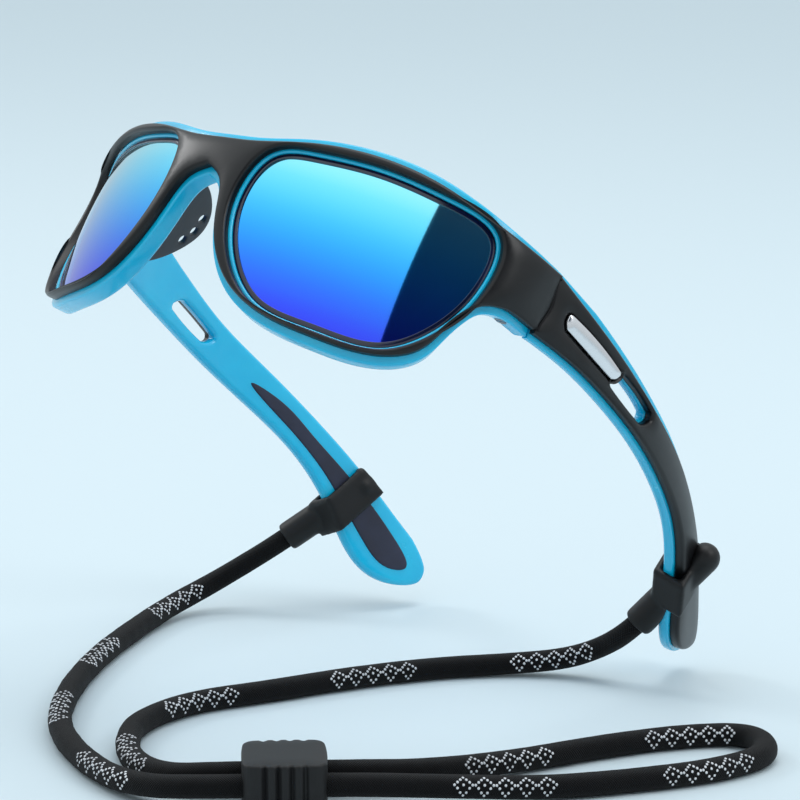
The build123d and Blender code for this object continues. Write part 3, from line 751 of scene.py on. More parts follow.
@dataclass(frozen=True)
class WovenElastic:
    """A fine ribbed elastic cord, by distance along it and round it."""

    name: str
    colour: tuple[int, int, int]
    light: tuple[int, int, int]
    rib: float = 0.00055
    rows: int = 26

    def make(self) -> bpy.types.Material:
        """Builds the material."""
        nodes = Nodes(self.name)
        layer = nodes.add("ShaderNodeUVMap", uv_map="Weave")
        axes = nodes.add("ShaderNodeSeparateXYZ")
        nodes.link(layer.outputs["UV"], axes.inputs["Vector"])

        def wave(socket: bpy.types.NodeSocket, turns: float) -> bpy.types.NodeSocket:
            scaled = nodes.add("ShaderNodeMath", operation="MULTIPLY")
            scaled.inputs[1].default_value = turns * 2 * math.pi
            ripple = nodes.add("ShaderNodeMath", operation="SINE")
            nodes.link(socket, scaled.inputs[0])
            nodes.link(scaled.outputs[0], ripple.inputs[0])
            return ripple.outputs[0]

        along = wave(axes.outputs["X"], 1 / self.rib)
        around = wave(axes.outputs["Y"], self.rows)
        weave = nodes.add("ShaderNodeMath", operation="MULTIPLY")
        nodes.link(along, weave.inputs[0])
        nodes.link(around, weave.inputs[1])
        fuzz = nodes.add("ShaderNodeTexNoise", Scale=1800.0, Detail=3.0)
        place = nodes.add("ShaderNodeTexCoord")
        nodes.link(place.outputs["Object"], fuzz.inputs["Vector"])
        height = nodes.add("ShaderNodeMath", operation="ADD")
        nodes.link(weave.outputs[0], height.inputs[0])
        nodes.link(fuzz.outputs["Fac"], height.inputs[1])
        share = nodes.add("ShaderNodeMapRange")
        share.inputs["From Min"].default_value = -0.6
        share.inputs["From Max"].default_value = 1.7
        nodes.link(height.outputs[0], share.inputs["Value"])
        tone = nodes.add("ShaderNodeMix", data_type="RGBA")
        tone.inputs[6].default_value = linear(*self.colour)
        tone.inputs[7].default_value = linear(*self.light)
        nodes.link(share.outputs["Result"], tone.inputs["Factor"])
        nodes.link(tone.outputs[2], nodes.shader.inputs["Base Color"])
        bump = nodes.add("ShaderNodeBump", Strength=0.8, Distance=0.00012)
        nodes.link(height.outputs[0], bump.inputs["Height"])
        nodes.link(bump.outputs["Normal"], nodes.shader.inputs["Normal"])
        nodes.plain(Roughness=0.86, Sheen_Weight=0.06, Sheen_Roughness=0.5, Specular_IOR_Level=0.15)
        return nodes.material


@dataclass(frozen=True)
class Finishes:
    """Every material of the glasses and the strap."""

    shell: bpy.types.Material
    frame: bpy.types.Material
    lens: bpy.types.Material
    rim: bpy.types.Material
    pad: bpy.types.Material
    screw: bpy.types.Material
    trim: bpy.types.Material
    grip: bpy.types.Material
    sleeve: bpy.types.Material
    cord: bpy.types.Material
    thread: bpy.types.Material
    slider: bpy.types.Material

    @classmethod
    def make(cls) -> "Finishes":
        """Builds them all."""
        return cls(
            shell=MouldedFinish("shell_satin_black", (9, 9, 11), (15, 15, 17), 0.36, coat=0.05, specular=0.35).make(),
            frame=MouldedFinish("frame_cyan", (0, 182, 224), (14, 190, 228), 0.26, grain=0.12, coat=0.35).make(),
            lens=MirrorLens().make(),
            # Dark navy of the ring on each lens: partly the lens edge's own colour, partly painted shade of the gap
            # under the frame's lip.
            rim=MouldedFinish("lens_edge_and_shade_navy", (3, 12, 44), (5, 20, 66), 0.16, grain=0.05, coat=0.6).make(),
            pad=MouldedFinish("pad_soft_grey", (52, 53, 57), (64, 64, 68), 0.55, grain=0.6).make(),
            screw=BrushedMetal("screw_dark_steel", (120, 122, 128), 0.3).make(),
            trim=BrushedMetal("trim_satin_silver", (226, 226, 228), 0.2).make(),
            grip=MouldedFinish("grip_navy_rubber", (26, 30, 50), (38, 43, 66), 0.6, grain=0.7).make(),
            sleeve=MouldedFinish("sleeve_black_rubber", (7, 7, 8), (12, 12, 14), 0.46, grain=0.5, specular=0.35).make(),
            cord=WovenElastic("cord_black_elastic", (3, 3, 4), (16, 16, 18)).make(),
            thread=MouldedFinish("cord_pale_thread", (196, 198, 202), (226, 227, 230), 0.8, grain=0.8).make(),
            slider=MouldedFinish("slider_black_rubber", (10, 10, 11), (18, 18, 20), 0.52, grain=0.6, specular=0.35).make(),
        )


# --- The glasses --------------------------------------------------------------------------------------


@dataclass
class Front:
    """The front: black outer shell over a cyan inner frame, with two lenses and the hinge knuckles."""

    finishes: Finishes
    wrap: Wrap = field(default_factory=Wrap)
    shell: float = 2.2
    frame: float = 4.6
    seam: float = 0.05
    reveal: float = 1.2
    brow_reveal: float = 0.7
    setback: float = 0.7
    lip: float = 1.3
    lens_thick: float = 1.8
    lens_depth: float = 0.8
    step: float = 0.75
    pin: tuple[float, float] = (61.8, 46.6)
    knuckle: float = 2.4

    def lens_loop(self, grow: float) -> np.ndarray:
        """The left lens opening by distance round the face and height, moved out by a distance."""
        flat = [(float(self.wrap.station(np.array(x), 0.0)), z) for x, z in LENS_EDGE]
        return inset(anticlockwise(smooth_line(flat, closed=True, step=self.step)), -grow)

    def both(self, loop: np.ndarray) -> list[np.ndarray]:
        """A left loop and its mirror image."""
        return [loop, (loop * np.array([-1, 1]))[::-1]]

    def split(self, z: np.ndarray) -> np.ndarray:
        """How far the hinge's parting line waves back from the front's end, by height."""
        return 0.55 * np.sin((z - 3.6) / 13.5 * 2 * math.pi)

    def outline(self, grow: float, drop: float = 0.0, lift: float = 0.0) -> np.ndarray:
        """The front's outline by distance round the face and height, moved out by a distance.

        Args:
            grow: how far the whole edge moves out.
            drop: how much further the lower edge moves down.
            lift: how much further the upper edge moves up, fading out towards the hinge.

        Returns:
            The anticlockwise outline.
        """
        brow, cheek, end = (smooth_line(p, step=0.4) for p in (BROW_EDGE, CHEEK_EDGE, END_LOW))
        stop = self.wrap.stops[2]
        s = np.linspace(0, stop, 260)
        x, y = self.wrap.plan(s, np.full_like(s, self.shell))
        top = np.interp(x, brow[:, 0], brow[:, 1])
        low = np.interp(x, cheek[:, 0], cheek[:, 1])
        under = np.where(y < END_LOW[0][0], -99.0, np.interp(y, end[:, 0], end[:, 1]))
        steep = 1.6
        joined = np.log(np.exp(low / steep) + np.exp(np.maximum(under, -60) / steep)) * steep
        low = np.where(under < -90, low, joined)
        low = np.minimum(low, np.maximum(np.interp(x, cheek[:, 0], cheek[:, 1]), under) + 0.5)
        top = top + lift * np.clip((stop - s) / 25, 0, 1)
        half_top, half_low = np.stack([s, top], 1), np.stack([s, low - drop], 1)
        edge = np.linspace(half_low[-1, 1], half_top[-1, 1], 24)[1:-1]
        butt = np.stack([stop + self.split(edge), edge], 1)
        right = np.vstack([half_low, butt, half_top[::-1]])
        left = (right[1:-1] * np.array([-1, 1]))[::-1]
        loop = evenly(anticlockwise(np.vstack([right, left])), self.step, True)
        grown = inset(loop, -grow) if grow else loop
        limit = stop + self.split(grown[:, 1])
        grown[:, 0] = np.clip(grown[:, 0], -limit, limit)
        return grown

    def brow_ridge(self, flat: np.ndarray) -> np.ndarray:
        """The shell's soft swelling over the temples, off its plain face."""
        s, z = np.abs(flat[:, 0]), flat[:, 1]
        side = np.exp(-(((s - 76) / 9) ** 2) - (((z - 6) / 8) ** 2))
        return 0.55 * side

    def knuckles(self, side: Side) -> tuple[np.ndarray, list[tuple[int, ...]]]:
        """The two knuckles behind the front's end."""
        x, y = self.pin
        pieces = []
        for low, high in ((1.0, 3.6), (9.2, 11.8)):
            r = self.knuckle
            barrel = [(0, r - 0.3), (0.04, r - 0.1), (0.12, r), (0.88, r), (0.96, r - 0.1), (1, r - 0.3)]
            pieces.append(turned_bar((x, y, low), (x, y, high), barrel))
            arm = [(0, 1.7), (0.05, 1.78), (0.95, 1.78), (1, 1.7)]
            middle = (low + high) / 2
            body = turned_bar((x - 0.2, y - 5.0, middle), (x - 0.2, y - 0.4, middle), arm, sides=24)
            body[0][:, 2] = middle + (body[0][:, 2] - middle) * 0.72
            pieces.append(body)
        points, faces = merged(pieces)
        return (points, faces) if side is Side.LEFT else mirrored(points, faces)

    def build(self) -> None:
        """Builds and dresses the front's pieces."""
        openings = self.both(self.lens_loop(self.setback))
        shell = Plate(self.wrap.place, self.outline(0), self.seam, self.shell, 0.15, 0.75, holes=openings,
                      crown=0.3, crown_width=3.0, relief=self.brow_ridge, steps=5)
        self.finish("front_shell", shell.build(), self.finishes.shell, "front_shell", "shell")
        frame = Plate(self.wrap.place, self.outline(self.reveal, 0.5, self.brow_reveal), -self.frame, 0.0, 1.3, 0.5,
                      holes=self.both(self.lens_loop(0)))
        solid = merged([frame.build(), self.knuckles(Side.LEFT), self.knuckles(Side.RIGHT)])
        self.finish("front_frame", solid, self.finishes.frame, "front_frame", "frame")
        for side in Side:
            self.lens(side)

    def lens(self, side: Side) -> None:
        """Builds one lens with its mirror face, and a dark ring round its edge that is partly the lens's polished edge
        and partly painted shade in the gap under the frame's lip.
        """
        low = -self.lens_depth - self.lens_thick
        lens = Plate(self.wrap.place, self.lens_loop(self.lip), low, -self.lens_depth, 0.1, 0.1, grid=1.3,
                     steps=2)
        points, faces = lens.build()
        if side is Side.RIGHT:
            points, faces = mirrored(points, faces)
        name = f"lens_{side.value}"
        obj = self.finish(name, (points, faces), self.finishes.lens, name, "lens")
        # Dark navy ring laid on the lens just inside the opening: partly the lens's polished edge, partly painted shade
        # of the gap under the frame's lip.
        rim = Plate(self.wrap.place, self.lens_loop(-0.05), -self.lens_depth + 0.03, -self.lens_depth + 0.3,
                    0.03, 0.12, holes=[self.lens_loop(-1.25)], steps=3)
        points, faces = rim.build()
        if side is Side.RIGHT:
            points, faces = mirrored(points, faces)
        ring = mesh_object(f"lens_edge_and_shade_ring_{side.value}", tipped(points), faces, self.finishes.rim)
        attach(ring, "front")
        log.info("%s and its ring, %d faces", obj.name, len(obj.data.polygons))

    def finish(self, name: str, solid: tuple[np.ndarray, Sequence[Sequence[int]]], material: bpy.types.Material,
               node: str, slot: str) -> bpy.types.Object:
        """Makes the object for a CAD node and rides it on the front."""
        obj = mesh_object(name + "_skin", tipped(solid[0]), solid[1], material)
        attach(obj, "front")
        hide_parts(node)
        log.info("%s, %d faces", obj.name, len(obj.data.polygons))
        return obj


@dataclass
class NosePads:
    """Two soft pads bonded under the bridge."""

    finishes: Finishes
    plane: FlatPlane = FlatPlane((12.2, 5.2, -4.0), (0.42, 0.05, -0.91), (0.20, 0.97, 0.05))
    thick: float = 1.5
    vent: float = 1.1

    def build(self) -> None:
        """Builds both pads."""
        angles = np.linspace(0, 2 * math.pi, 20, endpoint=False)
        ring = np.stack([np.cos(angles), np.sin(angles)], 1) * self.vent
        edge = smooth_line(PAD_EDGE, closed=True, step=0.5)
        pad = Plate(self.plane.place, edge, 0.0, self.thick, 0.45, 0.5, crown=0.35, crown_width=3.5,
                    holes=[ring + np.array(at) for at in PAD_VENTS], grid=1.0)
        points, faces = pad.build()
        for side in Side:
            solid = (points, faces) if side is Side.LEFT else mirrored(points, faces)
            obj = mesh_object(f"nose_pad_{side.value}_soft", tipped(solid[0]), solid[1], self.finishes.pad)
            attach(obj, "front")
            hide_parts(f"nose_pad_{side.value}")
            log.info("%s, %d faces", obj.name, len(obj.data.polygons))


@dataclass
class Temple:
    """One temple: black outer half, cyan inner half, silver trim and rubber grip."""

    side: Side
    finishes: Finishes
    line: TempleLine = field(default_factory=TempleLine)
    gap: float = 0.3
    outer: float = 2.2
    inner: float = 2.8
    reveal: float = 1.1
    crest: float = 2.4
    slot_step: float = 0.4
    trim_thick: float = 1.3
    trim_proud: float = 0.35
    trim_gap: float = 0.2
    step: float = 0.75
    pin: tuple[float, float] = (61.8, 46.6)
    knuckle: float = 2.4

    @property
    def body(self) -> str:
        """The CAD body that the temple rides on."""
        return f"temple_{self.side.value}"

    def outline(self, low_grow: float, top_grow: float) -> np.ndarray:
        """The temple's outline in side view, its two edges moved out by distances."""
        ring = smooth_line(TEMPLE_TOP + [TEMPLE_TIP] + TEMPLE_LOW, step=self.step)
        tip = int(np.argmax(ring[:, 0]))
        share = np.clip(np.abs(np.arange(len(ring)) - tip) / 12, 0, 1)
        grow = np.where(np.arange(len(ring)) < tip, top_grow, low_grow) * share + low_grow * (1 - share)
        grow *= np.where(np.arange(len(ring)) < tip, 0.55 + 0.45 * np.clip((ring[:, 0] - 45) / 14, 0, 1), 1)
        ahead = np.gradient(ring, axis=0)
        ahead /= np.linalg.norm(ahead, axis=1)[:, None]
        ring = ring + np.stack([-ahead[:, 1], ahead[:, 0]], 1) * grow[:, None]
        start = 45 + self.gap
        ring = ring[ring[:, 0] > start + 0.4]
        height = np.linspace(ring[-1, 1], ring[0, 1], 22)
        butt = np.stack([start + 0.55 * np.sin((height - 3.6) / 13.5 * 2 * math.pi), height], 1)
        return evenly(anticlockwise(np.vstack([ring, butt])), self.step, True)

    def spine(self, flat: np.ndarray) -> np.ndarray:
        """A low ridge along the temple's upper half."""
        return 0.25 * np.exp(-(((flat[:, 0] - 100) / 60) ** 2))

    def tongue(self) -> tuple[np.ndarray, list[tuple[int, ...]]]:
        """The temple's knuckle between the front's two."""
        x, y = self.pin
        r = self.knuckle
        barrel = [(0, r - 0.3), (0.03, r - 0.1), (0.09, r), (0.91, r), (0.97, r - 0.1), (1, r - 0.3)]
        profile = [(0, 1.6), (0.06, 1.7), (0.94, 1.7), (1, 1.6)]
        arm = turned_bar((x + 1.4, y + 0.2, 6.4), (x + 2.2, y + 3.4, 6.4), profile)
        arm[0][:, 2] = 6.4 + (arm[0][:, 2] - 6.4) * 1.42
        return merged([turned_bar((x, y, 3.9), (x, y, 8.9), barrel), arm])

    def build(self) -> None:
        """Builds and dresses the temple's pieces."""
        slot = rounded_corners(SLOT, 0.8)
        recess = rounded_corners(TRIM, 1.0)
        floor = self.outer + self.trim_proud - self.trim_thick - self.trim_gap
        outer = Plate(self.line.place, self.outline(0, 0), 0.05, self.outer, 0.15, 0.8,
                      holes=[inset(anticlockwise(slot), -self.slot_step)],
                      pockets=[(recess, floor)], crown=0.5, crown_width=4.0, grid=1.4, steps=5)
        self.finish("temple_outer", outer.build(), self.finishes.shell, "shell")
        inner = Plate(self.line.place, self.outline(self.reveal, self.crest), -self.inner, 0.0, 1.2, 0.5,
                      holes=[slot], grid=1.5)
        self.finish("temple_inner", merged([inner.build(), self.tongue()]), self.finishes.frame, "frame")
        bar = inset(anticlockwise(recess), self.trim_gap)
        top = self.outer + self.trim_proud
        trim = Plate(self.line.place, bar, top - self.trim_thick, top, 0.1, 0.3, crown=0.45,
                     crown_width=1.9, grid=0.5)
        self.finish("temple_trim", trim.build(), self.finishes.trim, "trim")
        grip = Plate(self.line.place, smooth_line(GRIP, closed=True, step=0.6), -self.inner - 0.35,
                     -self.inner + 0.55, 0.35, 0.1, grid=1.2)
        self.finish("temple_grip", grip.build(), self.finishes.grip, "grip")

    def finish(self, kind: str, solid: tuple[np.ndarray, Sequence[Sequence[int]]], material: bpy.types.Material,
               slot: str) -> bpy.types.Object:
        """Makes the object for a CAD node and rides it on the temple."""
        if self.side is Side.RIGHT:
            solid = mirrored(*solid)
        node = f"{kind}_{self.side.value}"
        obj = mesh_object(node + "_skin", tipped(solid[0]), solid[1], material)
        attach(obj, self.body)
        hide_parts(node)
        log.info("%s, %d faces", obj.name, len(obj.data.polygons))
        return obj


# --- The strap ----------------------------------------------------------------------------------------


def cad_copy(frame: dict, node: str, name: str, material: bpy.types.Material) -> bpy.types.Object:
    """A merged copy of a CAD node's mesh as a new object.

    Args:
        node: the CAD node.
        name: the new piece's name.
        material: its finish.

    Returns:
        The new object at the origin.
    """
    source = frame["nodes"][node].data
    points = np.zeros(len(source.vertices) * 3)
    source.vertices.foreach_get("co", points)
    points = points.reshape(-1, 3)
    keys = np.round(points, 7)
    unique, index = np.unique(keys, axis=0, return_inverse=True)
    faces = [tuple(int(index.ravel()[v]) for v in p.vertices) for p in source.polygons]
    return mesh_object(name, unique, [f for f in faces if len(set(f)) == len(f)], material)


def applied(obj: bpy.types.Object) -> None:
    """Bakes an object's modifiers into its mesh."""
    depsgraph = bpy.context.evaluated_depsgraph_get()
    mesh = bpy.data.meshes.new_from_object(obj.evaluated_get(depsgraph))
    obj.modifiers.clear()
    obj.data = mesh


@dataclass
class Sleeve:
    """A rubber sleeve stretched round a temple, its tail holding the cord's end."""

    side: Side
    finishes: Finishes
    frame: dict
    voxel: float = 0.00030
    rounds: int = 26
    swell: float = 0.00022

    def build(self) -> None:
        """Softens the CAD sleeve's edges into moulded rubber."""
        node = f"strap_sleeve_{self.side.value}"
        obj = cad_copy(self.frame, node, node + "_rubber", self.finishes.sleeve)
        remesh = obj.modifiers.new("Remesh", "REMESH")
        remesh.mode = "VOXEL"
        remesh.voxel_size = self.voxel * 1
        remesh.use_smooth_shade = True
        smooth = obj.modifiers.new("Smooth", "CORRECTIVE_SMOOTH")
        smooth.use_only_smooth = True
        smooth.iterations = self.rounds
        swell = obj.modifiers.new("Swell", "DISPLACE")
        swell.strength, swell.mid_level = self.swell, 0.0
        applied(obj)
        obj.data.materials.clear()
        obj.data.materials.append(self.finishes.sleeve)
        obj.data.shade_smooth()
        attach(obj, f"temple_{self.side.value}")
        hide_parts(node)
        log.info("%s, %d faces", obj.name, len(obj.data.polygons))


def stitch_tree() -> bpy.types.NodeTree:
    """Geometry nodes that set one raised thread on each vertex of a cloud, along its stored directions."""
    tree = bpy.data.node_groups.new("Raised Stitches", "GeometryNodeTree")
    tree.interface.new_socket("Geometry", in_out="INPUT", socket_type="NodeSocketGeometry")
    for label, value in (("Length", 0.0009), ("Width", 0.0005), ("Height", 0.0003)):
        socket = tree.interface.new_socket(label, in_out="INPUT", socket_type="NodeSocketFloat")
        socket.default_value = value
    tree.interface.new_socket("Thread", in_out="INPUT", socket_type="NodeSocketMaterial")
    tree.interface.new_socket("Geometry", in_out="OUTPUT", socket_type="NodeSocketGeometry")
    nodes, links = tree.nodes, tree.links
    start, end = nodes.new("NodeGroupInput"), nodes.new("NodeGroupOutput")
    bead = nodes.new("GeometryNodeMeshIcoSphere")
    bead.inputs["Radius"].default_value = 0.5
    bead.inputs["Subdivisions"].default_value = 2
    size = nodes.new("ShaderNodeCombineXYZ")
    for label, axis in (("Length", "X"), ("Width", "Y"), ("Height", "Z")):
        links.new(start.outputs[label], size.inputs[axis])
    turn = None
    for name, axis, pivot in (("out", "Z", "AUTO"), ("along", "X", "Z")):
        read = nodes.new("GeometryNodeInputNamedAttribute")
        read.data_type = "FLOAT_VECTOR"
        read.inputs["Name"].default_value = name
        align = nodes.new("FunctionNodeAlignRotationToVector")
        align.axis, align.pivot_axis = axis, pivot
        links.new(read.outputs["Attribute"], align.inputs["Vector"])
        if turn:
            links.new(turn.outputs["Rotation"], align.inputs["Rotation"])
        turn = align
    place = nodes.new("GeometryNodeInstanceOnPoints")
    links.new(start.outputs["Geometry"], place.inputs["Points"])
    links.new(bead.outputs["Mesh"], place.inputs["Instance"])
    links.new(turn.outputs["Rotation"], place.inputs["Rotation"])
    links.new(size.outputs["Vector"], place.inputs["Scale"])
    real = nodes.new("GeometryNodeRealizeInstances")
    smooth = nodes.new("GeometryNodeSetShadeSmooth")
    paint = nodes.new("GeometryNodeSetMaterial")
    links.new(place.outputs["Instances"], real.inputs["Geometry"])
    links.new(real.outputs["Geometry"], smooth.inputs["Geometry"])
    links.new(smooth.outputs["Geometry"], paint.inputs["Geometry"])
    links.new(start.outputs["Thread"], paint.inputs["Material"])
    links.new(paint.outputs["Geometry"], end.inputs["Geometry"])
    return tree


def set_input(modifier: bpy.types.NodesModifier, label: str, value: object) -> None:
    """Sets a geometry nodes input by its socket's identifier."""
    for item in modifier.node_group.interface.items_tree:
        if item.in_out == "INPUT" and item.name == label:
            modifier[item.identifier] = value


@dataclass
class WovenCord:
    """One length of the strap's elastic: a softly flattened tube on the route's own curve, with woven patches."""

    name: str
    node: str
    route: list[Vector]
    finishes: Finishes
    stitches: bpy.types.NodeTree
    half_width: float = 2.75
    half_height: float = 2.5
    section_step: float = 0.5
    sides: int = 24
    patch_start: float = 14.0
    patch_pitch: float = 47.0
    cell: float = 0.66
    diamonds: int = 5
    thread_row: bool = False
    facing: Vector = field(default_factory=lambda: Vector((0.66, -0.72, 0.42)))

    def centreline(self) -> np.ndarray:
        """Points on the NURBS curve of the route, evenly spaced, in metres."""
        curve = bpy.data.curves.new(self.name + "_line", "CURVE")
        curve.dimensions = "3D"
        spline = curve.splines.new("NURBS")
        spline.points.add(len(self.route) - 1)
        for point, at in zip(spline.points, self.route):
            point.co = (*(at * MM), 1.0)
        spline.order_u = 3
        spline.use_endpoint_u = True
        spline.resolution_u = 24
        holder = bpy.data.objects.new(curve.name, curve)
        bpy.context.scene.collection.objects.link(holder)
        bpy.context.view_layer.update()
        mesh = bpy.data.meshes.new_from_object(holder)
        line = np.array([v.co for v in mesh.vertices])
        bpy.data.objects.remove(holder)
        bpy.data.meshes.remove(mesh)
        return evenly(line, self.section_step * MM, False)

    def axes(self, line: np.ndarray) -> tuple[np.ndarray, np.ndarray, np.ndarray]:
        """The cord's direction, its level sideways direction and its upward direction at each point."""
        ahead = np.gradient(line, axis=0)
        ahead /= np.linalg.norm(ahead, axis=1)[:, None]
        across = np.cross(ahead, np.array([0.0, 0.0, 1.0]))
        across /= np.linalg.norm(across, axis=1)[:, None]
        return ahead, across, np.cross(across, ahead)

    def ring(self, angle: np.ndarray) -> tuple[np.ndarray, np.ndarray]:
        """The section's sideways and upward reach at angles round it, in metres."""
        c, s, power = np.cos(angle), np.sin(angle), 2 / 2.5
        return (self.half_width * MM * np.sign(c) * np.abs(c) ** power,
                self.half_height * MM * np.sign(s) * np.abs(s) ** power)

    def tube(self, line: np.ndarray) -> bpy.types.Object:
        """The cord's mesh with its weave coordinates."""
        ahead, across, up = self.axes(line)
        angle = np.linspace(0, 2 * math.pi, self.sides, endpoint=False)
        wide, tall = self.ring(angle)
        count = len(line)
        run = np.arange(count) * self.section_step * MM
        pull = 1 + 0.02 * np.sin(run * 410) + 0.012 * np.sin(run * 1130 + 1)
        rings = (line[:, None, :] + across[:, None, :] * (wide[None, :, None] * pull[:, None, None])
                 + up[:, None, :] * tall[None, :, None])
        points = np.vstack([rings.reshape(-1, 3), line[:1], line[-1:]])
        faces, weave = [], []
        for k in range(count - 1):
            for i in range(self.sides):
                j = (i + 1) % self.sides
                here, ahead_of = k * self.sides, (k + 1) * self.sides
                faces.append((here + i, ahead_of + i, ahead_of + j, here + j))
                low, high = i / self.sides, (i + 1) / self.sides
                weave += [(run[k], low), (run[k + 1], low), (run[k + 1], high), (run[k], high)]
        first, last, base = len(points) - 2, len(points) - 1, (count - 1) * self.sides
        for i in range(self.sides):
            j = (i + 1) % self.sides
            faces += [(first, i, j), (last, base + j, base + i)]
            weave += [(0, 0)] * 6
        obj = mesh_object(self.name, points, faces, self.finishes.cord, crease=60)
        layer = obj.data.uv_layers.new(name="Weave")
        layer.data.foreach_set("uv", np.array(weave, np.float32).ravel())
        return obj

    def pattern(self, length: float) -> list[tuple[float, int]]:
        """Where the pale threads lie: distance along the cord and row across the patch, a chain of diamonds."""
        spots, start = [], self.patch_start
        while start < length - 22:
            for column in range(self.diamonds * 7):
                for row in range(-3, 4):
                    reach = abs(column % 7 - 3) + abs(row)
                    if reach in (0, 3):
                        spots.append((start + column * self.cell, row))
            start += self.patch_pitch
        return spots

    def threads(self, line: np.ndarray) -> bpy.types.Object:
        """The raised pale threads of the woven patches."""
        ahead, across, up = self.axes(line)
        spots = self.pattern(len(line) * self.section_step)
        where, out, along = [], [], []
        for distance, row in spots:
            k = min(int(distance / self.section_step), len(line) - 1)
            rest = distance / self.section_step - k
            at = line[k] * (1 - rest) + line[min(k + 1, len(line) - 1)] * rest
            face = Vector(self.facing)
            middle = math.atan2(face.dot(Vector(up[k])), face.dot(Vector(across[k])))
            angle = middle + row * self.cell / self.half_height
            wide, tall = self.ring(np.array([angle, angle + 0.02]))
            spot = at + across[k] * wide[0] + up[k] * tall[0]
            side = across[k] * (wide[1] - wide[0]) + up[k] * (tall[1] - tall[0])
            normal = np.cross(side, ahead[k])
            normal /= np.linalg.norm(normal)
            if normal @ (spot - at) < 0:
                normal = -normal
            where.append(spot)
            out.append(normal)
            along.append(ahead[k])
        cloud = bpy.data.meshes.new(self.name + "_cloud")
        cloud.from_pydata([tuple(p) for p in where], [], [])
        for label, values in (("out", out), ("along", along)):
            attribute = cloud.attributes.new(label, "FLOAT_VECTOR", "POINT")
            attribute.data.foreach_set("vector", np.array(values, np.float32).ravel())
        obj = bpy.data.objects.new(self.name + "_threads", cloud)
        bpy.context.scene.collection.objects.link(obj)
        modifier = obj.modifiers.new("Stitches", "NODES")
        modifier.node_group = self.stitches
        for label, value in (("Length", 0.62 * MM), ("Width", 0.66 * MM), ("Height", 0.34 * MM),
                             ("Thread", self.finishes.thread)):
            set_input(modifier, label, value)
        bpy.context.view_layer.update()
        applied(obj)
        return obj

    def build(self, ride: Callable[[bpy.types.Object], None], length: float, far_end: str,
              with_pieces: Sequence[bpy.types.Object] = ()) -> bpy.types.Object:
        """Args:
            ride: called on each of its pieces, which sets it on a body or bakes its place.
            length: its real length, metres; not used.
            with_pieces: other pieces on the cord; not used.

        Returns:
            The cord's tube.
        """
        line = self.centreline()
        tube, threads = self.tube(line), self.threads(line)
        for piece in (tube, threads):
            ride(piece)
        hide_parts(self.node)
        log.info("%s, %.0f mm, %d faces and %d in its threads", tube.name, len(line) * self.section_step,
                 len(tube.data.polygons), len(threads.data.polygons))
        return tube


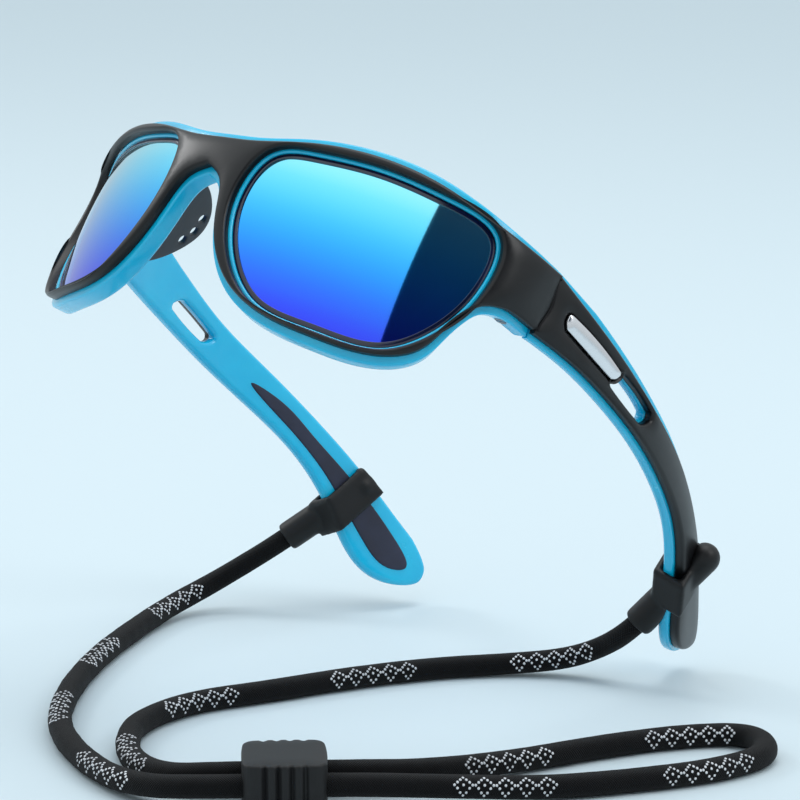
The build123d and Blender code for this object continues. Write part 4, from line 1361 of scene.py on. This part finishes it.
@dataclass
class Strap:
    """The neck strap: two sleeves, three lengths of woven elastic and the ribbed slider."""

    finishes: Finishes
    frame: dict
    crossing: tuple[float, float, float] = (56.4, 105.8, -95.6)
    tail: float = 17.0
    socket: float = 3.6
    lead: float = 3.0
    slider_at: tuple[float, float] = (45.0, -19.0)
    slider_along: tuple[float, float] = (0.70, 0.714)
    slider_size: tuple[float, float, float] = (18.0, 19.0, 11.6)
    straight: float = 15.0
    pitch: float = 9.0
    rib_pitch: float = 2.9
    rib_depth: float = 0.9

    def tail_way(self, side: Side) -> Vector:
        """The way a sleeve's tail points."""
        way = (-9.9, -4.9, -11.9) if side is Side.LEFT else (-10.2, -10.8, -10.0)
        return Vector(way).normalized()

    def tail_end(self, side: Side) -> Vector:
        """Where a sleeve's tail ends, in millimetres."""
        x, y, z = self.crossing
        return Vector((side.sign * x, y, z)) + self.tail_way(side) * self.tail

    def slider_axes(self) -> tuple[Vector, Vector, Vector]:
        """The slider's middle and its directions along and across the strands."""
        along = Vector((*self.slider_along, 0)).normalized()
        middle = Vector((*self.slider_at, GROUND + self.slider_size[2] / 2))
        return middle, along, Vector((along.y, -along.x, 0))

    def strand(self, side: Side, distance: float) -> Vector:
        """A point on one of the two strands, at a distance past the slider's middle."""
        middle, along, across = self.slider_axes()
        return middle + across * (-side.sign * self.pitch / 2) + along * distance

    def over_ground(self, points: Sequence[tuple[float, float, float]]) -> list[Vector]:
        """Route points with their heights over the surface, as places."""
        return [Vector((x, y, GROUND + h)) for x, y, h in points]

    def slider(self) -> bpy.types.Object:
        """The rubber slider: a block with round corners and upright grip grooves on both flanks."""
        length, width, height = self.slider_size
        corners = rounded_corners([(-length / 2, -width / 2), (length / 2, -width / 2), (length / 2, width / 2),
                                   (-length / 2, width / 2)], 3.0, step=0.22)
        scallop = np.abs(np.cos(corners[:, 0] / self.rib_pitch * math.pi))
        notch = self.rib_depth * np.clip(1 - scallop * 1.25, 0, 1) ** 0.8
        shape = np.clip((np.abs(corners[:, 1]) - width / 2 + 0.4) / 0.4, 0, 1) * (np.abs(corners[:, 0]) < 6.0)
        corners[:, 1] -= np.sign(corners[:, 1]) * notch * shape
        middle, along, across = self.slider_axes()

        def place(u: np.ndarray, v: np.ndarray, h: np.ndarray) -> np.ndarray:
            flat = np.array(middle) + u[:, None] * np.array(along) - v[:, None] * np.array(across)
            return flat + h[:, None] * np.array((0, 0, 1.0))

        block = Plate(place, corners, -height / 2, height / 2, 0.5, 0.5, crown=0.3, crown_width=4, grid=1.2)
        points, faces = block.build()
        obj = mesh_object("strap_slider_rubber", points * MM, faces, self.finishes.slider, crease=50)
        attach(obj, "slider")
        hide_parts("strap_slider")
        log.info("%s, %d faces", obj.name, len(obj.data.polygons))
        return obj

    def side_cord(self, side: Side, route: Sequence[tuple[float, float, float]], stitches: bpy.types.NodeTree,
                  length: float, patch_start: float) -> None:
        """The cord from a sleeve's socket to the slider.

        Args:
            side: the wearer's side it comes from.
            route: its points over the surface.
            stitches: the tree that raises its threads.
            length: its real length, metres.
            patch_start: where its first woven patch starts, mm.
        """
        way, end = self.tail_way(side), self.tail_end(side)
        points = [end - way * (self.socket - 0.05), end + way * self.lead] + self.over_ground(route)
        points += [self.strand(side, -self.straight), self.strand(side, -0.02)]
        cord = WovenCord(f"strap_cord_{side.value}_woven", f"strap_cord_{side.value}", points, self.finishes,
                         stitches, patch_start=patch_start)
        cord.build(lambda piece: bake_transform(piece),
                   length, "fitting")

    def build(self) -> None:
        """Builds the whole strap."""
        stitches = stitch_tree()
        for side in Side:
            Sleeve(side, self.finishes, self.frame).build()
        slider = self.slider()
        self.side_cord(Side.LEFT, LEFT_ROUTE, stitches, 0.213, 17)
        self.side_cord(Side.RIGHT, RIGHT_ROUTE, stitches, 0.228, 30)
        points = [self.strand(Side.LEFT, 0), self.strand(Side.LEFT, self.straight)]
        points += self.over_ground(LOOP_OUT) + self.over_ground(LOOP_BACK)
        points += [self.strand(Side.RIGHT, self.straight), self.strand(Side.RIGHT, 0)]
        loop = WovenCord("strap_loop_woven", "strap_loop", points, self.finishes, stitches, patch_start=40)
        loop.build(lambda piece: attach(piece, "front"), 0.240, "fitting", [slider])


# --- Studio -------------------------------------------------------------------------------------------


@dataclass
class Studio:
    """A pale floor under the strap, a pale blue-grey backdrop, soft lights and the camera."""

    camera_at: tuple[float, float, float] = (0.547788, -0.531127, 0.116612)
    camera_right: tuple[float, float, float] = (0.73762, 0.67521, -0.00100)
    camera_up: tuple[float, float, float] = (-0.13890, 0.15319, 0.97839)
    focal: float = 157.07
    sky_span: tuple[float, float] = (0.0, 0.9)
    sky_levels: tuple[float, float] = (0.7, 1.2)
    card_corners: tuple[tuple[float, float], ...] = ((36, 22), (90, 18), (100, 58), (58, 58))

    def area(self, name: str, at: tuple[float, float, float], aim: tuple[float, float, float], size: tuple[float, float],
             power: float, colour: tuple[float, float, float] = (1, 1, 1)) -> None:
        """Adds a soft rectangular light.

        Args:
            name: its name.
            at: where it stands, metres.
            aim: the point it faces.
            size: its width and height.
            power: its power, watts.
            colour: its colour.
        """
        data = bpy.data.lights.new(name, "AREA")
        data.shape, data.size, data.size_y, data.energy, data.color = "RECTANGLE", size[0], size[1], power, colour
        light = bpy.data.objects.new(name, data)
        light.location = at
        light.rotation_euler = (Vector(aim) - Vector(at)).to_track_quat("-Z", "Y").to_euler()
        bpy.context.scene.collection.objects.link(light)

    def toward(self, azimuth: float, elevation: float, distance: float) -> tuple[float, float, float]:
        """A place that far from the bridge; azimuth 0 is ahead of the face, in degrees towards +X."""
        turn, rise = math.radians(azimuth), math.radians(elevation)
        level = distance * math.cos(rise)
        return level * math.sin(turn), -level * math.cos(turn), distance * math.sin(rise)

    def sky(self) -> None:
        """Lights the world evenly, brighter overhead than at the horizon."""
        world = bpy.data.worlds.new("studio")
        bpy.context.scene.world = world
        world.use_nodes = True
        nodes, links = world.node_tree.nodes, world.node_tree.links
        place, axes = nodes.new("ShaderNodeTexCoord"), nodes.new("ShaderNodeSeparateXYZ")
        ramp = nodes.new("ShaderNodeMapRange")
        ramp.inputs["From Min"].default_value, ramp.inputs["From Max"].default_value = self.sky_span
        ramp.inputs["To Min"].default_value, ramp.inputs["To Max"].default_value = self.sky_levels
        links.new(place.outputs["Generated"], axes.inputs["Vector"])
        links.new(axes.outputs["Z"], ramp.inputs["Value"])
        links.new(ramp.outputs["Result"], nodes["Background"].inputs["Strength"])
        nodes["Background"].inputs["Color"].default_value = linear(238, 247, 252)

    def card(self) -> None:
        """Stands a dark card behind the camera, which darkens the outer corner of the near lens."""
        tone = Nodes("studio_card")
        tone.plain(Base_Color=linear(44, 56, 76), Roughness=0.9)
        corners = [self.toward(*place, 1.6) for place in self.card_corners]
        mesh_object("studio_card", np.array(corners), [(0, 1, 2, 3)], tone.material)

    def build(self) -> None:
        """Builds the floor, the sky, the lights and the camera."""
        bpy.context.scene.view_settings.view_transform = "Standard"
        floor_tone = Nodes("studio_floor")
        floor_tone.plain(Base_Color=linear(196, 210, 216), Roughness=0.75)
        level = GROUND * MM
        floor = mesh_object("studio_floor", np.array([(-4, -4, level), (4, -4, level), (4, 4, level), (-4, 4, level)]),
                            [(0, 1, 2, 3)], floor_tone.material)
        self.sky()
        self.card()
        centre = (0, 0.03, -0.05)
        self.area("overhead", self.toward(180, 74, 1.1), centre, (0.7, 0.7), 4)
        self.area("side", self.toward(112, 38, 1.2), centre, (0.5, 0.5), 3)
        self.area("spot", self.toward(-84, 33, 1.3), centre, (0.3, 0.2), 2.5)
        data = bpy.data.cameras.new("camera")
        data.sensor_width, data.lens, data.clip_start, data.clip_end = 36.0, self.focal, 0.01, 20
        camera = bpy.data.objects.new("camera", data)
        right, up = Vector(self.camera_right).normalized(), Vector(self.camera_up)
        back = right.cross(up).normalized()
        up = back.cross(right)
        matrix = Matrix.Identity(4)
        for row in range(3):
            matrix[row][0], matrix[row][1], matrix[row][2] = right[row], up[row], back[row]
            matrix[row][3] = self.camera_at[row]
        camera.matrix_world = matrix
        bpy.context.scene.collection.objects.link(camera)
        bpy.context.scene.camera = camera


def main() -> None:
    """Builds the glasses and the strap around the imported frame, and the studio."""
    logging.basicConfig(level=logging.INFO, format="%(message)s")
    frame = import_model()
    finishes = Finishes.make()
    Front(finishes).build()
    NosePads(finishes).build()
    for side in Side:
        Temple(side, finishes).build()
        for kind in ("hinge_screw", "rim_screw"):
            screw = frame["nodes"][f"{kind}_{side.value}"]
            screw.data.materials.clear()
            screw.data.materials.append(finishes.screw)
    Strap(finishes, frame).build()
    Studio().build()


if __name__ == "__main__":
    main()
